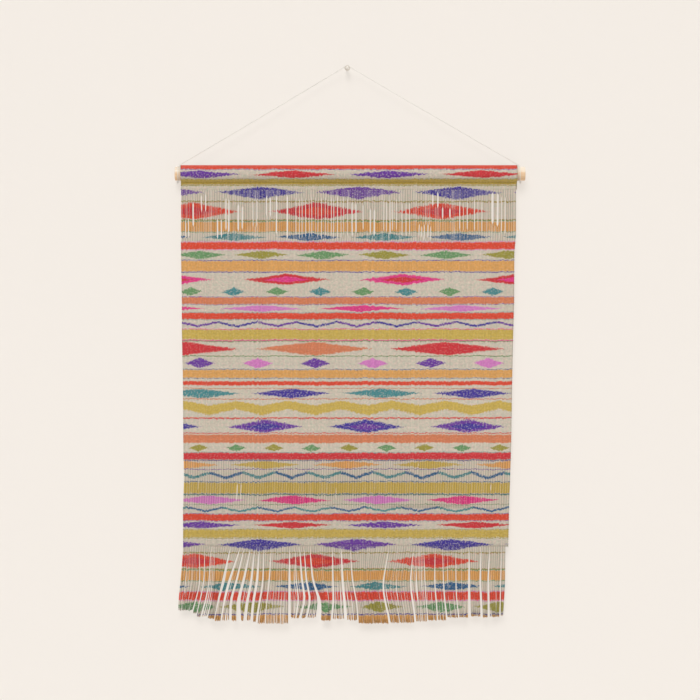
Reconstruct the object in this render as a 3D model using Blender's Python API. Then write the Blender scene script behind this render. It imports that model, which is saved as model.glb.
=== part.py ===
"""A woven wall hanging on a wooden dowel, hung by a thin cord from a wall peg.

The wall is the plane y = 0 and the hanging is seen along +Y, so all of it has y below 0. The origin is
the middle of the peg's back face and +Z is up. Tables are in millimetres, and `down` is a distance
below the dowel's axis, measured along the hanging cloth.
"""

import math

import bpy
import numpy as np

MM = 0.001
GAP = 0.3 * MM  # left between pieces that touch

PEG_STEM_RADIUS = 2.1 * MM
PEG_STEM_LENGTH = 10.4 * MM
PEG_HEAD_RADIUS = 3.25 * MM
PEG_REACH = 14.0 * MM
# The rim behind the peg's dome: share of the head's length from the stem, share of its radius.
PEG_RIM = (
    (0.08, 0.92),
    (0.25, 1.0),
)
PEG_DOME_START = 0.5  # share of the head's length
PEG_DOME_ANGLES = (0, 25, 50, 70)  # degrees on the dome's section; the last is its flat end
PEG_SIDES = 24

DOWEL_RADIUS = 8.3 * MM
DOWEL_LEFT = -205.1 * MM
DOWEL_RIGHT = 211.6 * MM
DOWEL_Y = -10.4 * MM
DOWEL_Z = -125.7 * MM
DOWEL_EASED = 0.7 * MM  # rounding of its two end edges
DOWEL_EASED_ANGLES = (0, 45, 90)
DOWEL_SIDES = 32
SHARP_ANGLE = 35  # degrees between faces past which a turned piece shows an edge

CLOTH = 1.2 * MM  # thickness of the cloth, and of a fringe lock
SLEEVE_RADIUS = DOWEL_RADIUS + GAP + CLOTH / 2  # middle of the cloth round the dowel
LAYER_STEP = CLOTH + GAP  # middle of the front layer to middle of the turned-back hem
PANEL_Y = DOWEL_Y - LAYER_STEP / 2
TURN_RADIUS = 1.6 * MM  # bend of the cloth where it leaves the dowel
HEM_END = 18.7 * MM  # lowest edge of the turned-back hem, as `down`
BAND_TOP = 19.5 * MM  # the open band of bare warp threads
BAND_END = 80.2 * MM
CLOTH_END = 443.0 * MM
STRIP_TOP = CLOTH_END + GAP  # the narrow strip that roots the fringe
FRINGE_ROOT = 445.7 * MM
CLOTH_COLUMNS = 12
BEND_POINTS = 6  # on each small bend of the sleeve's section
ROUND_POINTS = 25  # on its round part, over the dowel
BAND_ROWS = 5
BODY_ROWS = 17
# The panel hangs in two slow waves from side to side, at their full height from WAVES_FULL down.
BROAD_WAVE = 0.9 * MM
BROAD_LENGTH = 310.0 * MM
BROAD_START = 0.15  # in turns
NARROW_WAVE = 0.5 * MM
NARROW_LENGTH = 135.0 * MM
NARROW_SLANT = 420.0 * MM  # the drop in which the narrow wave moves aside by its own length
WAVES_FULL = 120.0 * MM

# The cloth's two side edges: down, x of the left edge, x of the right edge.
OUTLINE = (
    (0.0, -198.0, 202.0),
    (19.5, -198.0, 200.8),
    (72.0, -198.0, 200.8),
    (95.0, -197.8, 198.6),
    (152.0, -196.8, 198.4),
    (188.0, -196.8, 197.3),
    (241.0, -195.6, 196.1),
    (314.0, -195.0, 194.9),
    (367.0, -194.4, 193.7),
    (394.0, -195.4, 192.5),
    (443.0, -195.2, 191.3),
)

# Slits between the bare warp threads, in runs of like ones:
# x of the first, how many, pitch, down at the upper end, down at the lower end, width.
SLITS = (
    (-192.6, 2, 2.9, 52.5, 80.0, 1.4),
    (-183.1, 1, 0.0, 33.5, 64.0, 1.8),
    (-173.5, 2, 4.8, 24.0, 47.5, 1.6),
    (-154.4, 2, 4.9, 52.5, 80.0, 1.8),
    (-144.1, 2, 3.4, 27.5, 70.0, 1.6),
    (-129.8, 2, 4.8, 36.0, 71.0, 1.8),
    (-112.0, 2, 3.8, 30.0, 66.0, 1.2),
    (-96.3, 2, 4.2, 25.0, 53.5, 1.6),
    (-84.6, 1, 0.0, 24.0, 76.0, 1.8),
    (-71.8, 1, 0.0, 26.0, 79.5, 1.8),
    (-61.0, 17, 3.8, 27.0, 78.0, 1.3),
    (5.6, 2, 5.2, 33.5, 75.0, 1.8),
    (18.5, 1, 0.0, 36.0, 70.0, 1.2),
    (28.1, 2, 4.3, 40.5, 75.0, 1.8),
    (43.0, 5, 3.8, 30.0, 72.0, 1.2),
    (66.0, 3, 3.8, 34.0, 76.0, 1.2),
    (85.1, 5, 3.6, 60.0, 79.5, 1.4),
    (102.4, 2, 5.8, 21.5, 40.5, 1.8),
    (113.9, 2, 8.0, 40.0, 56.0, 1.6),
    (134.0, 3, 4.0, 32.0, 70.0, 1.2),
    (152.0, 3, 4.2, 30.0, 72.0, 1.2),
    (173.8, 2, 5.1, 20.5, 64.0, 2.4),
    (183.6, 2, 4.4, 26.0, 74.0, 1.4),
)
SLIT_TAPER = 4  # length of a slit's pointed end, in times its width
CUTTER_REACH = 4.0 * MM  # how far a slit's cutter stands out on both sides of the panel

# The fringe hangs in clumps that gather and sway. One row a clump, from the left: its length, the x of
# the gap on its right at each of FRINGE_LEVELS below the root, and that gap's width low down and at the
# tips. The last row's gap is the fringe's right edge.
FRINGE_LEVELS = (0.0, 44.0, 63.0, 88.0)
FRINGE_LEFT_EDGE = (-195.2, -198.6, -200.7, -201.6)
CLUMPS = (
    (76.2, -176.5, -175.4, -180.1, -187.3, 1.2, 1.8),
    (79.8, -169.4, -170.6, -175.0, -181.3, 1.4, 0.8),
    (83.3, -162.3, -164.6, -168.2, -175.6, 1.0, 1.8),
    (83.3, -158.1, -158.7, -161.1, -168.0, 0.8, 1.2),
    (85.7, -139.0, -148.0, -153.3, -158.7, 3.4, 1.0),
    (88.1, -127.1, -141.3, -146.2, -150.4, 3.4, 1.5),
    (88.1, -122.4, -132.5, -138.7, -139.3, 2.6, 3.0),
    (88.1, -114.6, -124.2, -130.1, -129.1, 3.2, 5.5),
    (88.1, -109.9, -114.6, -119.0, -121.8, 3.0, 4.0),
    (88.1, -104.5, -107.5, -111.7, -114.0, 2.8, 3.5),
    (89.3, -99.2, -100.4, -103.9, -108.1, 1.4, 2.4),
    (91.7, -90.2, -93.2, -95.6, -98.0, 1.6, 1.2),
    (91.7, -68.9, -68.9, -68.9, -68.9, 2.6, 3.5),
    (85.1, -61.9, -60.7, -57.3, -62.3, 1.4, 1.8),
    (85.7, -56.7, -53.9, -49.8, -57.5, 2.2, 2.6),
    (85.1, -51.5, -48.6, -43.2, -49.8, 2.0, 2.6),
    (85.1, -44.8, -40.8, -32.5, -34.9, 2.4, 6.5),
    (88.1, -17.6, -17.0, -16.3, -19.0, 2.0, 2.4),
    (86.3, -7.5, -5.4, -3.6, -1.8, 2.6, 3.5),
    (88.1, 3.2, 6.2, 10.7, 12.7, 1.4, 1.8),
    (91.7, 50.2, 42.1, 44.4, 50.8, 2.0, 2.4),
    (91.1, 78.8, 75.0, 77.4, 81.2, 1.8, 2.4),
    (89.3, 90.7, 92.5, 93.7, 95.5, 1.0, 1.2),
    (88.1, 104.6, 103.9, 105.6, 107.5, 1.4, 1.8),
    (88.1, 113.3, 114.4, 115.7, 119.1, 1.2, 1.8),
    (84.5, 128.8, 129.4, 129.9, 133.0, 1.2, 1.4),
    (83.9, 145.0, 145.0, 145.2, 145.4, 2.8, 3.5),
    (83.3, 159.5, 158.0, 159.2, 160.1, 2.0, 2.4),
    (83.9, 169.4, 167.4, 167.9, 168.5, 2.0, 2.4),
    (83.9, 183.8, 182.5, 182.2, 181.8, 1.2, 1.8),
    (82.1, 188.3, 187.7, 186.6, 185.4, 0.0, 0.0),
)
LOCK_PITCH = 2.6 * MM
LOCK_LEAST = 1.15 * MM  # least pitch where a clump is drawn together
LOCK_APART = 0.4 * MM
LOCK_BENDS = (22.0, 44.0, 63.0)  # depths below the root where a lock may change its lean
LOCK_LIFT = 0.35 * MM  # every other lock ends this much further from the wall
LOCK_UNEVEN = (-2.0, 1.0)  # least and most millimetres that a lock is longer than its clump's length
CLUMP_LEAN = 1.4 * MM  # most that a clump's tips lean to or from the wall
CLUMP_TURN = 2.4  # radians of the lean's sine from one clump to the next
LEAN_POWER = 1.5  # the lean grows with this power of the way down
LOCK_SEED = 11

CORD_RADIUS = 0.55 * MM
# The cord's route from the left loop over the peg to the right loop: x, y, z.
CORD_ROUTE = (
    (-198.7, -10.4, -115.0),
    (-172.0, -10.1, -99.2),
    (-144.0, -9.7, -82.6),
    (-116.0, -9.4, -66.0),
    (-88.0, -9.1, -49.3),
    (-60.0, -8.7, -32.5),
    (-34.0, -8.4, -16.9),
    (-14.0, -8.2, -4.9),
    (-5.0, -8.1, 0.45),
    (-1.52, -8.0, 2.53),
    (-0.76, -8.0, 2.86),
    (0.0, -8.0, 2.97),
    (0.76, -8.0, 2.86),
    (1.52, -8.0, 2.53),
    (5.0, -8.1, 0.5),
    (14.0, -8.2, -4.8),
    (34.0, -8.4, -16.5),
    (60.0, -8.7, -31.8),
    (88.0, -9.1, -48.2),
    (116.0, -9.4, -64.5),
    (144.0, -9.7, -80.8),
    (172.0, -10.1, -97.0),
    (203.0, -10.4, -115.0),
)
CORD_STEPS = 3  # points read from the smooth curve for each stretch of the route

LOOP_LEFT = -199.2 * MM  # x of each loop's turn next to the cloth
LOOP_RIGHT = 203.3 * MM
LOOP_RADIUS = DOWEL_RADIUS + GAP + CORD_RADIUS
LOOP_PITCH = 1.6 * MM
LOOP_TURNS = 1.5
LOOP_STEPS = 20  # points a turn
# The loop's knot and tail under the dowel: outward x, y, z from the end of its turns, and how many
# times as thick as the cord it is there.
KNOT = (
    (0.1, 0.7, -0.4, 1.2),
    (0.3, 1.0, -1.2, 1.9),
    (0.6, 0.9, -2.1, 1.7),
    (0.9, 0.6, -2.8, 1.0),
    (1.3, 0.3, -4.0, 1.0),
)


def clear_scene():
    for old in list(bpy.data.objects):
        bpy.data.objects.remove(old)


def finish_material(name, colour, roughness):
    """A plain Principled finish, not metallic."""
    material = bpy.data.materials.new(name)
    material.use_nodes = True
    shader = material.node_tree.nodes["Principled BSDF"]
    shader.inputs["Base Color"].default_value = (*colour, 1.0)
    shader.inputs["Roughness"].default_value = roughness
    shader.inputs["Metallic"].default_value = 0.0
    return material


def add_object(name, data, material):
    data.materials.append(material)
    made = bpy.data.objects.new(name, data)
    bpy.context.scene.collection.objects.link(made)
    return made


def add_mesh(name, points, faces, material):
    mesh = bpy.data.meshes.new(name)
    mesh.from_pydata([tuple(point) for point in points], [], faces)
    mesh.validate()
    return add_object(name, mesh, material)


def add_thickness(made, thickness):
    solidify = made.modifiers.new("Thickness", "SOLIDIFY")
    solidify.thickness = thickness
    solidify.offset = 0.0


def turned(name, profile, sides, material):
    """A solid turned about the x axis: `profile` gives (x, radius) pairs, and both ends are flat."""
    angles = np.arange(sides) * 2 * math.pi / sides
    rings = [
        np.column_stack((np.full(sides, x), radius * np.cos(angles), radius * np.sin(angles)))
        for x, radius in profile
    ]
    faces = [tuple(range(sides))[::-1]]
    for ring in range(len(profile) - 1):
        start = ring * sides
        for side in range(sides):
            after = (side + 1) % sides
            faces.append((start + side, start + after, start + sides + after, start + sides + side))
    faces.append(tuple(range((len(profile) - 1) * sides, len(profile) * sides)))
    made = add_mesh(name, np.concatenate(rings), faces, material)
    made.data.shade_smooth()
    made.data.set_sharp_from_angle(angle=math.radians(SHARP_ANGLE))
    return made


def smooth_curve(route, steps):
    """Points on the Catmull-Rom curve through `route`, `steps` for each stretch, with both ends."""
    points = np.asarray(route, float)
    padded = np.vstack((2 * points[0] - points[1], points, 2 * points[-1] - points[-2]))
    share = (np.arange(steps) / steps)[:, None]
    stretches = []
    for before, start, end, after in zip(padded, padded[1:], padded[2:], padded[3:]):
        stretches.append(
            0.5
            * (
                2 * start
                + (end - before) * share
                + (2 * before - 5 * start + 4 * end - after) * share**2
                + (3 * start - before - 3 * end + after) * share**3
            )
        )
    return np.vstack((*stretches, points[-1:]))


def tube(name, points, thickness, material):
    """A round cord along `points`, with `thickness` times CORD_RADIUS at each of them."""
    curve = bpy.data.curves.new(name, "CURVE")
    curve.dimensions = "3D"
    curve.bevel_depth = CORD_RADIUS
    curve.bevel_resolution = 2
    curve.use_fill_caps = True
    spline = curve.splines.new("POLY")
    spline.points.add(len(points) - 1)
    for held, point, times in zip(spline.points, points, thickness):
        held.co = (*point, 1.0)
        held.radius = times
    return add_object(name, curve, material)


def eased(value, start, end):
    """0 before `start`, 1 after `end`, and a smooth step between them."""
    share = np.clip((value - start) / (end - start), 0.0, 1.0)
    return share * share * (3 - 2 * share)


def stand_out(x, down):
    """How far the panel stands behind its plane: two slow waves across it that grow from the band on."""
    broad = BROAD_WAVE * np.sin(2 * math.pi * (x / BROAD_LENGTH + BROAD_START))
    narrow = NARROW_WAVE * np.sin(2 * math.pi * (x / NARROW_LENGTH - down / NARROW_SLANT))
    return eased(down, BAND_TOP, WAVES_FULL) * (broad + narrow)


def side_edges(down):
    """x of the cloth's left and right edges."""
    at, left, right = np.array(OUTLINE).T * MM
    return np.interp(down, at, left), np.interp(down, at, right)


def sleeve_section():
    """(y, z) along the cloth's middle, from the hem's lower edge behind, up and over the dowel, and down
    in front to where the panel starts to fall: two small bends of TURN_RADIUS join the part of a circle
    round the dowel to the upright layers."""
    reach = SLEEVE_RADIUS + TURN_RADIUS
    aside = LAYER_STEP / 2 + TURN_RADIUS
    drop = math.sqrt(reach**2 - aside**2)
    lean = math.atan2(drop, aside)  # below the horizontal, where the cloth leaves the dowel
    bend = np.linspace(0.0, lean, BEND_POINTS)
    behind = [(DOWEL_Y + LAYER_STEP / 2, DOWEL_Z - HEM_END)]
    for angle in bend:
        behind.append(
            (
                DOWEL_Y + aside - TURN_RADIUS * math.cos(angle),
                DOWEL_Z - drop + TURN_RADIUS * math.sin(angle),
            )
        )
    over = [
        (DOWEL_Y + SLEEVE_RADIUS * math.cos(angle), DOWEL_Z + SLEEVE_RADIUS * math.sin(angle))
        for angle in np.linspace(-lean, math.pi + lean, ROUND_POINTS)[1:-1]
    ]
    before = [(2 * DOWEL_Y - y, z) for y, z in reversed(behind[1:])]
    return behind + over + before


def slit_cutters(material):
    """One mesh of upright six-sided bars, pointed above and below, through the panel at each slit."""
    points = []
    faces = []
    for first, count, pitch, upper, lower, width in SLITS:
        taper = SLIT_TAPER * width
        outline = (
            (0.0, upper),
            (width / 2, upper + taper),
            (width / 2, lower - taper),
            (0.0, lower),
            (-width / 2, lower - taper),
            (-width / 2, upper + taper),
        )
        for place in range(count):
            start = len(points)
            x = first + place * pitch
            for y in (PANEL_Y - CUTTER_REACH, PANEL_Y + CUTTER_REACH):
                points += [((x + aside) * MM, y, DOWEL_Z - down * MM) for aside, down in outline]
            front = [start + corner for corner in range(6)]
            back = [start + 6 + corner for corner in range(6)]
            faces += [tuple(reversed(front)), tuple(back)]
            for corner in range(6):
                after = (corner + 1) % 6
                faces.append((front[corner], front[after], back[after], back[corner]))
    cutters = add_mesh("slit_cutters", points, faces, material)
    cutters.hide_render = True
    cutters.display_type = "WIRE"
    return cutters


def build_cloth():
    """One sheet: hem behind, sleeve over the dowel, then the panel with its open band."""
    material = finish_material("printed_cloth", (0.55, 0.30, 0.22), 0.92)
    upright = sleeve_section()
    turn_end = DOWEL_Z - upright[-1][1]
    downs = np.concatenate(
        (
            [(turn_end + BAND_TOP) / 2],
            np.linspace(BAND_TOP, BAND_END, BAND_ROWS),
            np.linspace(BAND_END, CLOTH_END, BODY_ROWS)[1:],
        )
    )
    share = np.linspace(0.0, 1.0, CLOTH_COLUMNS + 1)
    rows = []
    for y, z in upright:
        left, right = side_edges(0.0)
        x = left + (right - left) * share
        rows.append(np.column_stack((x, np.full_like(x, y), np.full_like(x, z))))
    for down in downs:
        left, right = side_edges(down)
        x = left + (right - left) * share
        rows.append(
            np.column_stack((x, PANEL_Y + stand_out(x, down), np.full_like(x, DOWEL_Z - down)))
        )
    across = CLOTH_COLUMNS + 1
    faces = [
        (row * across + col, row * across + col + 1, (row + 1) * across + col + 1, (row + 1) * across + col)
        for row in range(len(rows) - 1)
        for col in range(CLOTH_COLUMNS)
    ]
    cloth = add_mesh("woven_panel", np.concatenate(rows), faces, material)
    cloth.data.shade_smooth()
    add_thickness(cloth, CLOTH)
    slits = cloth.modifiers.new("Slits", "BOOLEAN")
    slits.object = slit_cutters(material)
    slits.operation = "DIFFERENCE"
    slits.solver = "EXACT"


def gap_lines(depth):
    """x of the clumps' boundaries at `depth` below the root, and the width of each gap there."""
    table = np.array(CLUMPS)
    places = np.vstack((FRINGE_LEFT_EDGE, table[:, 1:5])) * MM
    widths = np.vstack((np.zeros(2), table[:, 5:7])) * MM
    levels = np.array(FRINGE_LEVELS) * MM
    x = np.array([np.interp(depth, levels, row) for row in places])
    width = np.array(
        [np.interp(depth, levels[[0, 1, 3]], (0.0, low, tip)) for low, tip in widths]
    )
    return x, width


def build_fringe():
    """A comb: a narrow strip below the cloth's edge, and flat locks that hang from it in clumps.

    It is drawn as one flat sheet, then given thickness. A clump's locks share its width at every depth."""
    material = finish_material("fringe_yarn", (0.55, 0.31, 0.24), 0.92)
    draw = np.random.default_rng(LOCK_SEED)
    spans = []
    for level in FRINGE_LEVELS:
        x, width = gap_lines(level * MM)
        spans.append(np.diff(x) - (width[1:] + width[:-1]) / 2)
    points = []
    faces = []

    def add_point(x, y, down):
        points.append((x, y, DOWEL_Z - down))
        return len(points) - 1

    def on_strip(x, down):
        return add_point(x, PANEL_Y + stand_out(x, down), down)

    roots = gap_lines(0.0)[0]
    upper = [on_strip(x, STRIP_TOP) for x in roots]
    lower = [on_strip(x, FRINGE_ROOT) for x in roots]
    for clump, row in enumerate(CLUMPS):
        length = row[0] * MM
        most = max(1, int(min(span[clump] for span in spans) / LOCK_LEAST))
        count = int(np.clip(round(spans[0][clump] / LOCK_PITCH), 1, most))
        lean = CLUMP_LEAN * math.sin(CLUMP_TURN * clump)
        corners = []
        for lock in range(count):
            hang = length + draw.uniform(*LOCK_UNEVEN) * MM
            above = None
            for depth in (0.0, *(bend * MM for bend in LOCK_BENDS), hang):
                x, width = gap_lines(depth)
                left = x[clump] + width[clump] / 2
                right = x[clump + 1] - width[clump + 1] / 2
                pitch = (right - left) / count
                start = left + pitch * lock + LOCK_APART / 2
                end = left + pitch * (lock + 1) - LOCK_APART / 2
                if above is None:
                    pair = [on_strip(side, FRINGE_ROOT) for side in (start, end)]
                    corners += pair
                else:
                    down = FRINGE_ROOT + depth
                    swing = (depth / hang) ** LEAN_POWER * lean
                    aside = swing + depth / hang * LOCK_LIFT * (-1) ** lock
                    y = PANEL_Y + stand_out((start + end) / 2, down) + aside
                    pair = [add_point(side, y, down) for side in (start, end)]
                    faces.append((above[0], above[1], pair[1], pair[0]))
                above = pair
        faces.append((upper[clump], upper[clump + 1], lower[clump + 1], *reversed(corners), lower[clump]))
    fringe = add_mesh("fringe", points, faces, material)
    add_thickness(fringe, CLOTH)


def build_dowel():
    material = finish_material("birch_dowel", (0.62, 0.45, 0.28), 0.55)
    length = DOWEL_RIGHT - DOWEL_LEFT
    rounding = [
        (DOWEL_EASED * (1 - math.cos(angle)), DOWEL_RADIUS - DOWEL_EASED * (1 - math.sin(angle)))
        for angle in np.radians(DOWEL_EASED_ANGLES)
    ]
    profile = rounding + [(length - x, radius) for x, radius in reversed(rounding)]
    dowel = turned("dowel", profile, DOWEL_SIDES, material)
    dowel.location = (DOWEL_LEFT, DOWEL_Y, DOWEL_Z)


def build_peg():
    """Turned along x like the dowel, then set into the wall pointing at the viewer."""
    material = finish_material("turned_peg", (0.66, 0.56, 0.44), 0.5)
    head = PEG_REACH - PEG_STEM_LENGTH
    profile = [(0.0, PEG_STEM_RADIUS), (PEG_STEM_LENGTH, PEG_STEM_RADIUS)]
    profile += [(PEG_STEM_LENGTH + along * head, PEG_HEAD_RADIUS * wide) for along, wide in PEG_RIM]
    dome = 1 - PEG_DOME_START
    steepest = math.radians(PEG_DOME_ANGLES[-1])
    for angle in np.radians(PEG_DOME_ANGLES):
        along = PEG_DOME_START + dome * math.sin(angle) / math.sin(steepest)
        profile.append((PEG_STEM_LENGTH + head * along, PEG_HEAD_RADIUS * math.cos(angle)))
    peg = turned("wall_peg", profile, PEG_SIDES, material)
    peg.rotation_euler = (0.0, 0.0, -math.pi / 2)


def build_cord():
    material = finish_material("cotton_cord", (0.78, 0.76, 0.71), 0.8)
    points = smooth_curve(CORD_ROUTE, CORD_STEPS) * MM
    tube("hanger_cord", points, np.ones(len(points)), material)
    return material


def build_loop(name, start_x, outward, material):
    """A turn and a half round the dowel, from its top over the front, away from the cloth as it goes,
    then a knot and a tail below."""
    share = np.linspace(0.0, LOOP_TURNS, int(LOOP_TURNS * LOOP_STEPS) + 1)
    angle = math.pi / 2 + 2 * math.pi * share
    turns = np.column_stack(
        (
            start_x + outward * LOOP_PITCH * share,
            DOWEL_Y + LOOP_RADIUS * np.cos(angle),
            DOWEL_Z + LOOP_RADIUS * np.sin(angle),
        )
    )
    knot = np.array(KNOT)
    tail = turns[-1] + knot[:, :3] * MM * (outward, 1.0, 1.0)
    thickness = np.concatenate((np.ones(len(turns)), knot[:, 3]))
    tube(name, np.concatenate((turns, tail)), thickness, material)


def build():
    clear_scene()
    build_cloth()
    build_fringe()
    build_dowel()
    build_peg()
    cord = build_cord()
    build_loop("cord_loop_left", LOOP_LEFT, -1.0, cord)
    build_loop("cord_loop_right", LOOP_RIGHT, 1.0, cord)


build()
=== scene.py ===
"""A printed, woven cotton wall hanging on a wooden dowel, its cord hung over a turned wall peg.

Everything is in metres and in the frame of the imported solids: the wall is y = 0, the viewer looks along
+Y and +Z is up. Tables are in millimetres. `down` is a distance below the dowel's axis, and `along` is a
distance on the cloth from the hem's edge behind, up over the dowel and down the panel to the fringe.
"""

import math

import bpy
import numpy as np
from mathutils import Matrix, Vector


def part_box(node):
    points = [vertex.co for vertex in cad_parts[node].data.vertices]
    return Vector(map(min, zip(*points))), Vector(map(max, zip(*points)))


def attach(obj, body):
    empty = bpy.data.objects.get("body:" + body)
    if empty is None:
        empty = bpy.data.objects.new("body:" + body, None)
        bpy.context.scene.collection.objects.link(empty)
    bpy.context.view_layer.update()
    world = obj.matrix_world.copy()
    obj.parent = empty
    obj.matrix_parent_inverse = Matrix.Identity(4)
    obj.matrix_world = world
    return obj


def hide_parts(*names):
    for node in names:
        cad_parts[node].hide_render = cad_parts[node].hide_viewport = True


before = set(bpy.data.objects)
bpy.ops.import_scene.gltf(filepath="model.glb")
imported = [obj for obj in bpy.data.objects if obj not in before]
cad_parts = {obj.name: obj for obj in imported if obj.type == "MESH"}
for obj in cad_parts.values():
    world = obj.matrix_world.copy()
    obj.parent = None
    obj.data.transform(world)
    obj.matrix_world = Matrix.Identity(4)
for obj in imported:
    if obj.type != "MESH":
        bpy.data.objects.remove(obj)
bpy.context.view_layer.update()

MM = 0.001
TURN = 2 * math.pi

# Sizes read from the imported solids

DOWEL_LOW, DOWEL_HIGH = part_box("dowel")
DOWEL_RADIUS = (DOWEL_HIGH.z - DOWEL_LOW.z) / 2
DOWEL_Y = (DOWEL_HIGH.y + DOWEL_LOW.y) / 2
DOWEL_Z = (DOWEL_HIGH.z + DOWEL_LOW.z) / 2
PEG_LOW, PEG_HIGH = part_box("wall_peg")
PEG_RADIUS = (PEG_HIGH.z - PEG_LOW.z) / 2
PEG_REACH = -PEG_LOW.y
FRINGE_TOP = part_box("fringe")[1].z

# The cloth

CLOTH = 1.2 * MM
GAP = 0.3 * MM
SLEEVE_RADIUS = DOWEL_RADIUS + 2 * GAP + CLOTH / 2
LAYER_STEP = CLOTH + GAP
PANEL_Y = DOWEL_Y - LAYER_STEP / 2
TURN_RADIUS = 1.6 * MM
CLOTH_WIDTH = 400.0 * MM
# Places on the hanging cloth, as `down`.
HEM_END = 18.7 * MM
SEAM = 13.0 * MM
BAND_TOP = 19.5 * MM
BAND_END = 80.2 * MM
CLOSE_TOP = 341.5 * MM
CLOSE_END = 397.5 * MM
ROOT = DOWEL_Z - FRINGE_TOP + 0.6 * MM

SHEET_COLUMNS = 160
HEM_STEPS = 6
BEND_STEPS = 9  # points on each small bend of the sleeve's section
OVER_STEPS = 61  # and on its round part, over the dowel
HEADING_ROWS = 7
BODY_ROWS = 106
FOOT_ROWS = 20

# The panel hangs in two slow waves from side to side, at their full height from WAVES_FULL down.
BROAD_WAVE = 0.9 * MM
BROAD_LENGTH = 310.0 * MM
BROAD_START = 0.15  # in turns
NARROW_WAVE = 0.5 * MM
NARROW_LENGTH = 135.0 * MM
NARROW_SLANT = 420.0 * MM  # the drop in which the narrow wave moves aside by its own length
WAVES_FULL = 120.0 * MM
# The woven surface's fine unevenness: its height, where it is full, the width and the drop in which the
# phase of its two sines grows by one radian, and how far each of them slants, in radians a metre.
UNEVEN = 0.12 * MM
UNEVEN_FULL = 90.0 * MM
UNEVEN_WIDTH = 6.1 * MM
UNEVEN_DROP = 8.3 * MM
UNEVEN_SLANTS = (40.0, 31.0)

# The cloth's two side edges: down, x of the left edge, x of the right edge.
OUTLINE = (
    (0.0, -198.0, 202.0),
    (19.5, -198.0, 200.8),
    (72.0, -198.0, 200.8),
    (95.0, -197.8, 198.6),
    (152.0, -196.8, 198.4),
    (188.0, -196.8, 197.3),
    (241.0, -195.6, 196.1),
    (314.0, -195.0, 194.9),
    (367.0, -194.4, 193.7),
    (394.0, -195.4, 192.5),
    (443.0, -195.2, 191.3),
)

# Slits between the bare warp yarns of the open band, in runs of like ones:
# x of the first, how many, pitch, down at the upper end, down at the lower end, width.
SLITS = (
    (-192.6, 2, 2.9, 52.5, 80.0, 1.4),
    (-183.1, 1, 0.0, 33.5, 64.0, 1.8),
    (-173.5, 2, 4.8, 24.0, 47.5, 1.6),
    (-154.4, 2, 4.9, 52.5, 80.0, 1.8),
    (-144.1, 2, 3.4, 27.5, 70.0, 1.6),
    (-129.8, 2, 4.8, 36.0, 71.0, 1.8),
    (-112.0, 2, 3.8, 30.0, 66.0, 1.2),
    (-96.3, 2, 4.2, 25.0, 53.5, 1.6),
    (-84.6, 1, 0.0, 24.0, 76.0, 1.8),
    (-71.8, 1, 0.0, 26.0, 79.5, 1.8),
    (-61.0, 17, 3.8, 27.0, 78.0, 1.1),
    (5.6, 2, 5.2, 33.5, 75.0, 1.8),
    (18.5, 1, 0.0, 36.0, 70.0, 1.2),
    (28.1, 2, 4.3, 40.5, 75.0, 1.8),
    (43.0, 5, 3.8, 30.0, 72.0, 1.2),
    (66.0, 3, 3.8, 34.0, 76.0, 1.2),
    (85.1, 5, 3.6, 60.0, 79.5, 1.4),
    (102.4, 2, 5.8, 21.5, 40.5, 1.8),
    (113.9, 2, 8.0, 40.0, 56.0, 1.6),
    (134.0, 3, 4.0, 32.0, 70.0, 1.2),
    (152.0, 3, 4.2, 30.0, 72.0, 1.2),
    (173.8, 2, 5.1, 20.5, 64.0, 2.4),
    (183.6, 2, 4.4, 26.0, 74.0, 1.4),
)
# The few slits of the close band lower down, in the same way.
CLOSE_SLITS = (
    (-177.0, 1, 0.0, 364.0, 381.0, 0.9),
    (-130.7, 2, 4.8, 368.0, 391.5, 1.15),
    (-12.3, 1, 0.0, 372.0, 389.0, 0.9),
    (84.5, 1, 0.0, 343.5, 352.0, 0.9),
    (126.5, 1, 0.0, 343.5, 351.0, 0.9),
    (171.0, 1, 0.0, 366.5, 382.0, 1.0),
)

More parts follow.
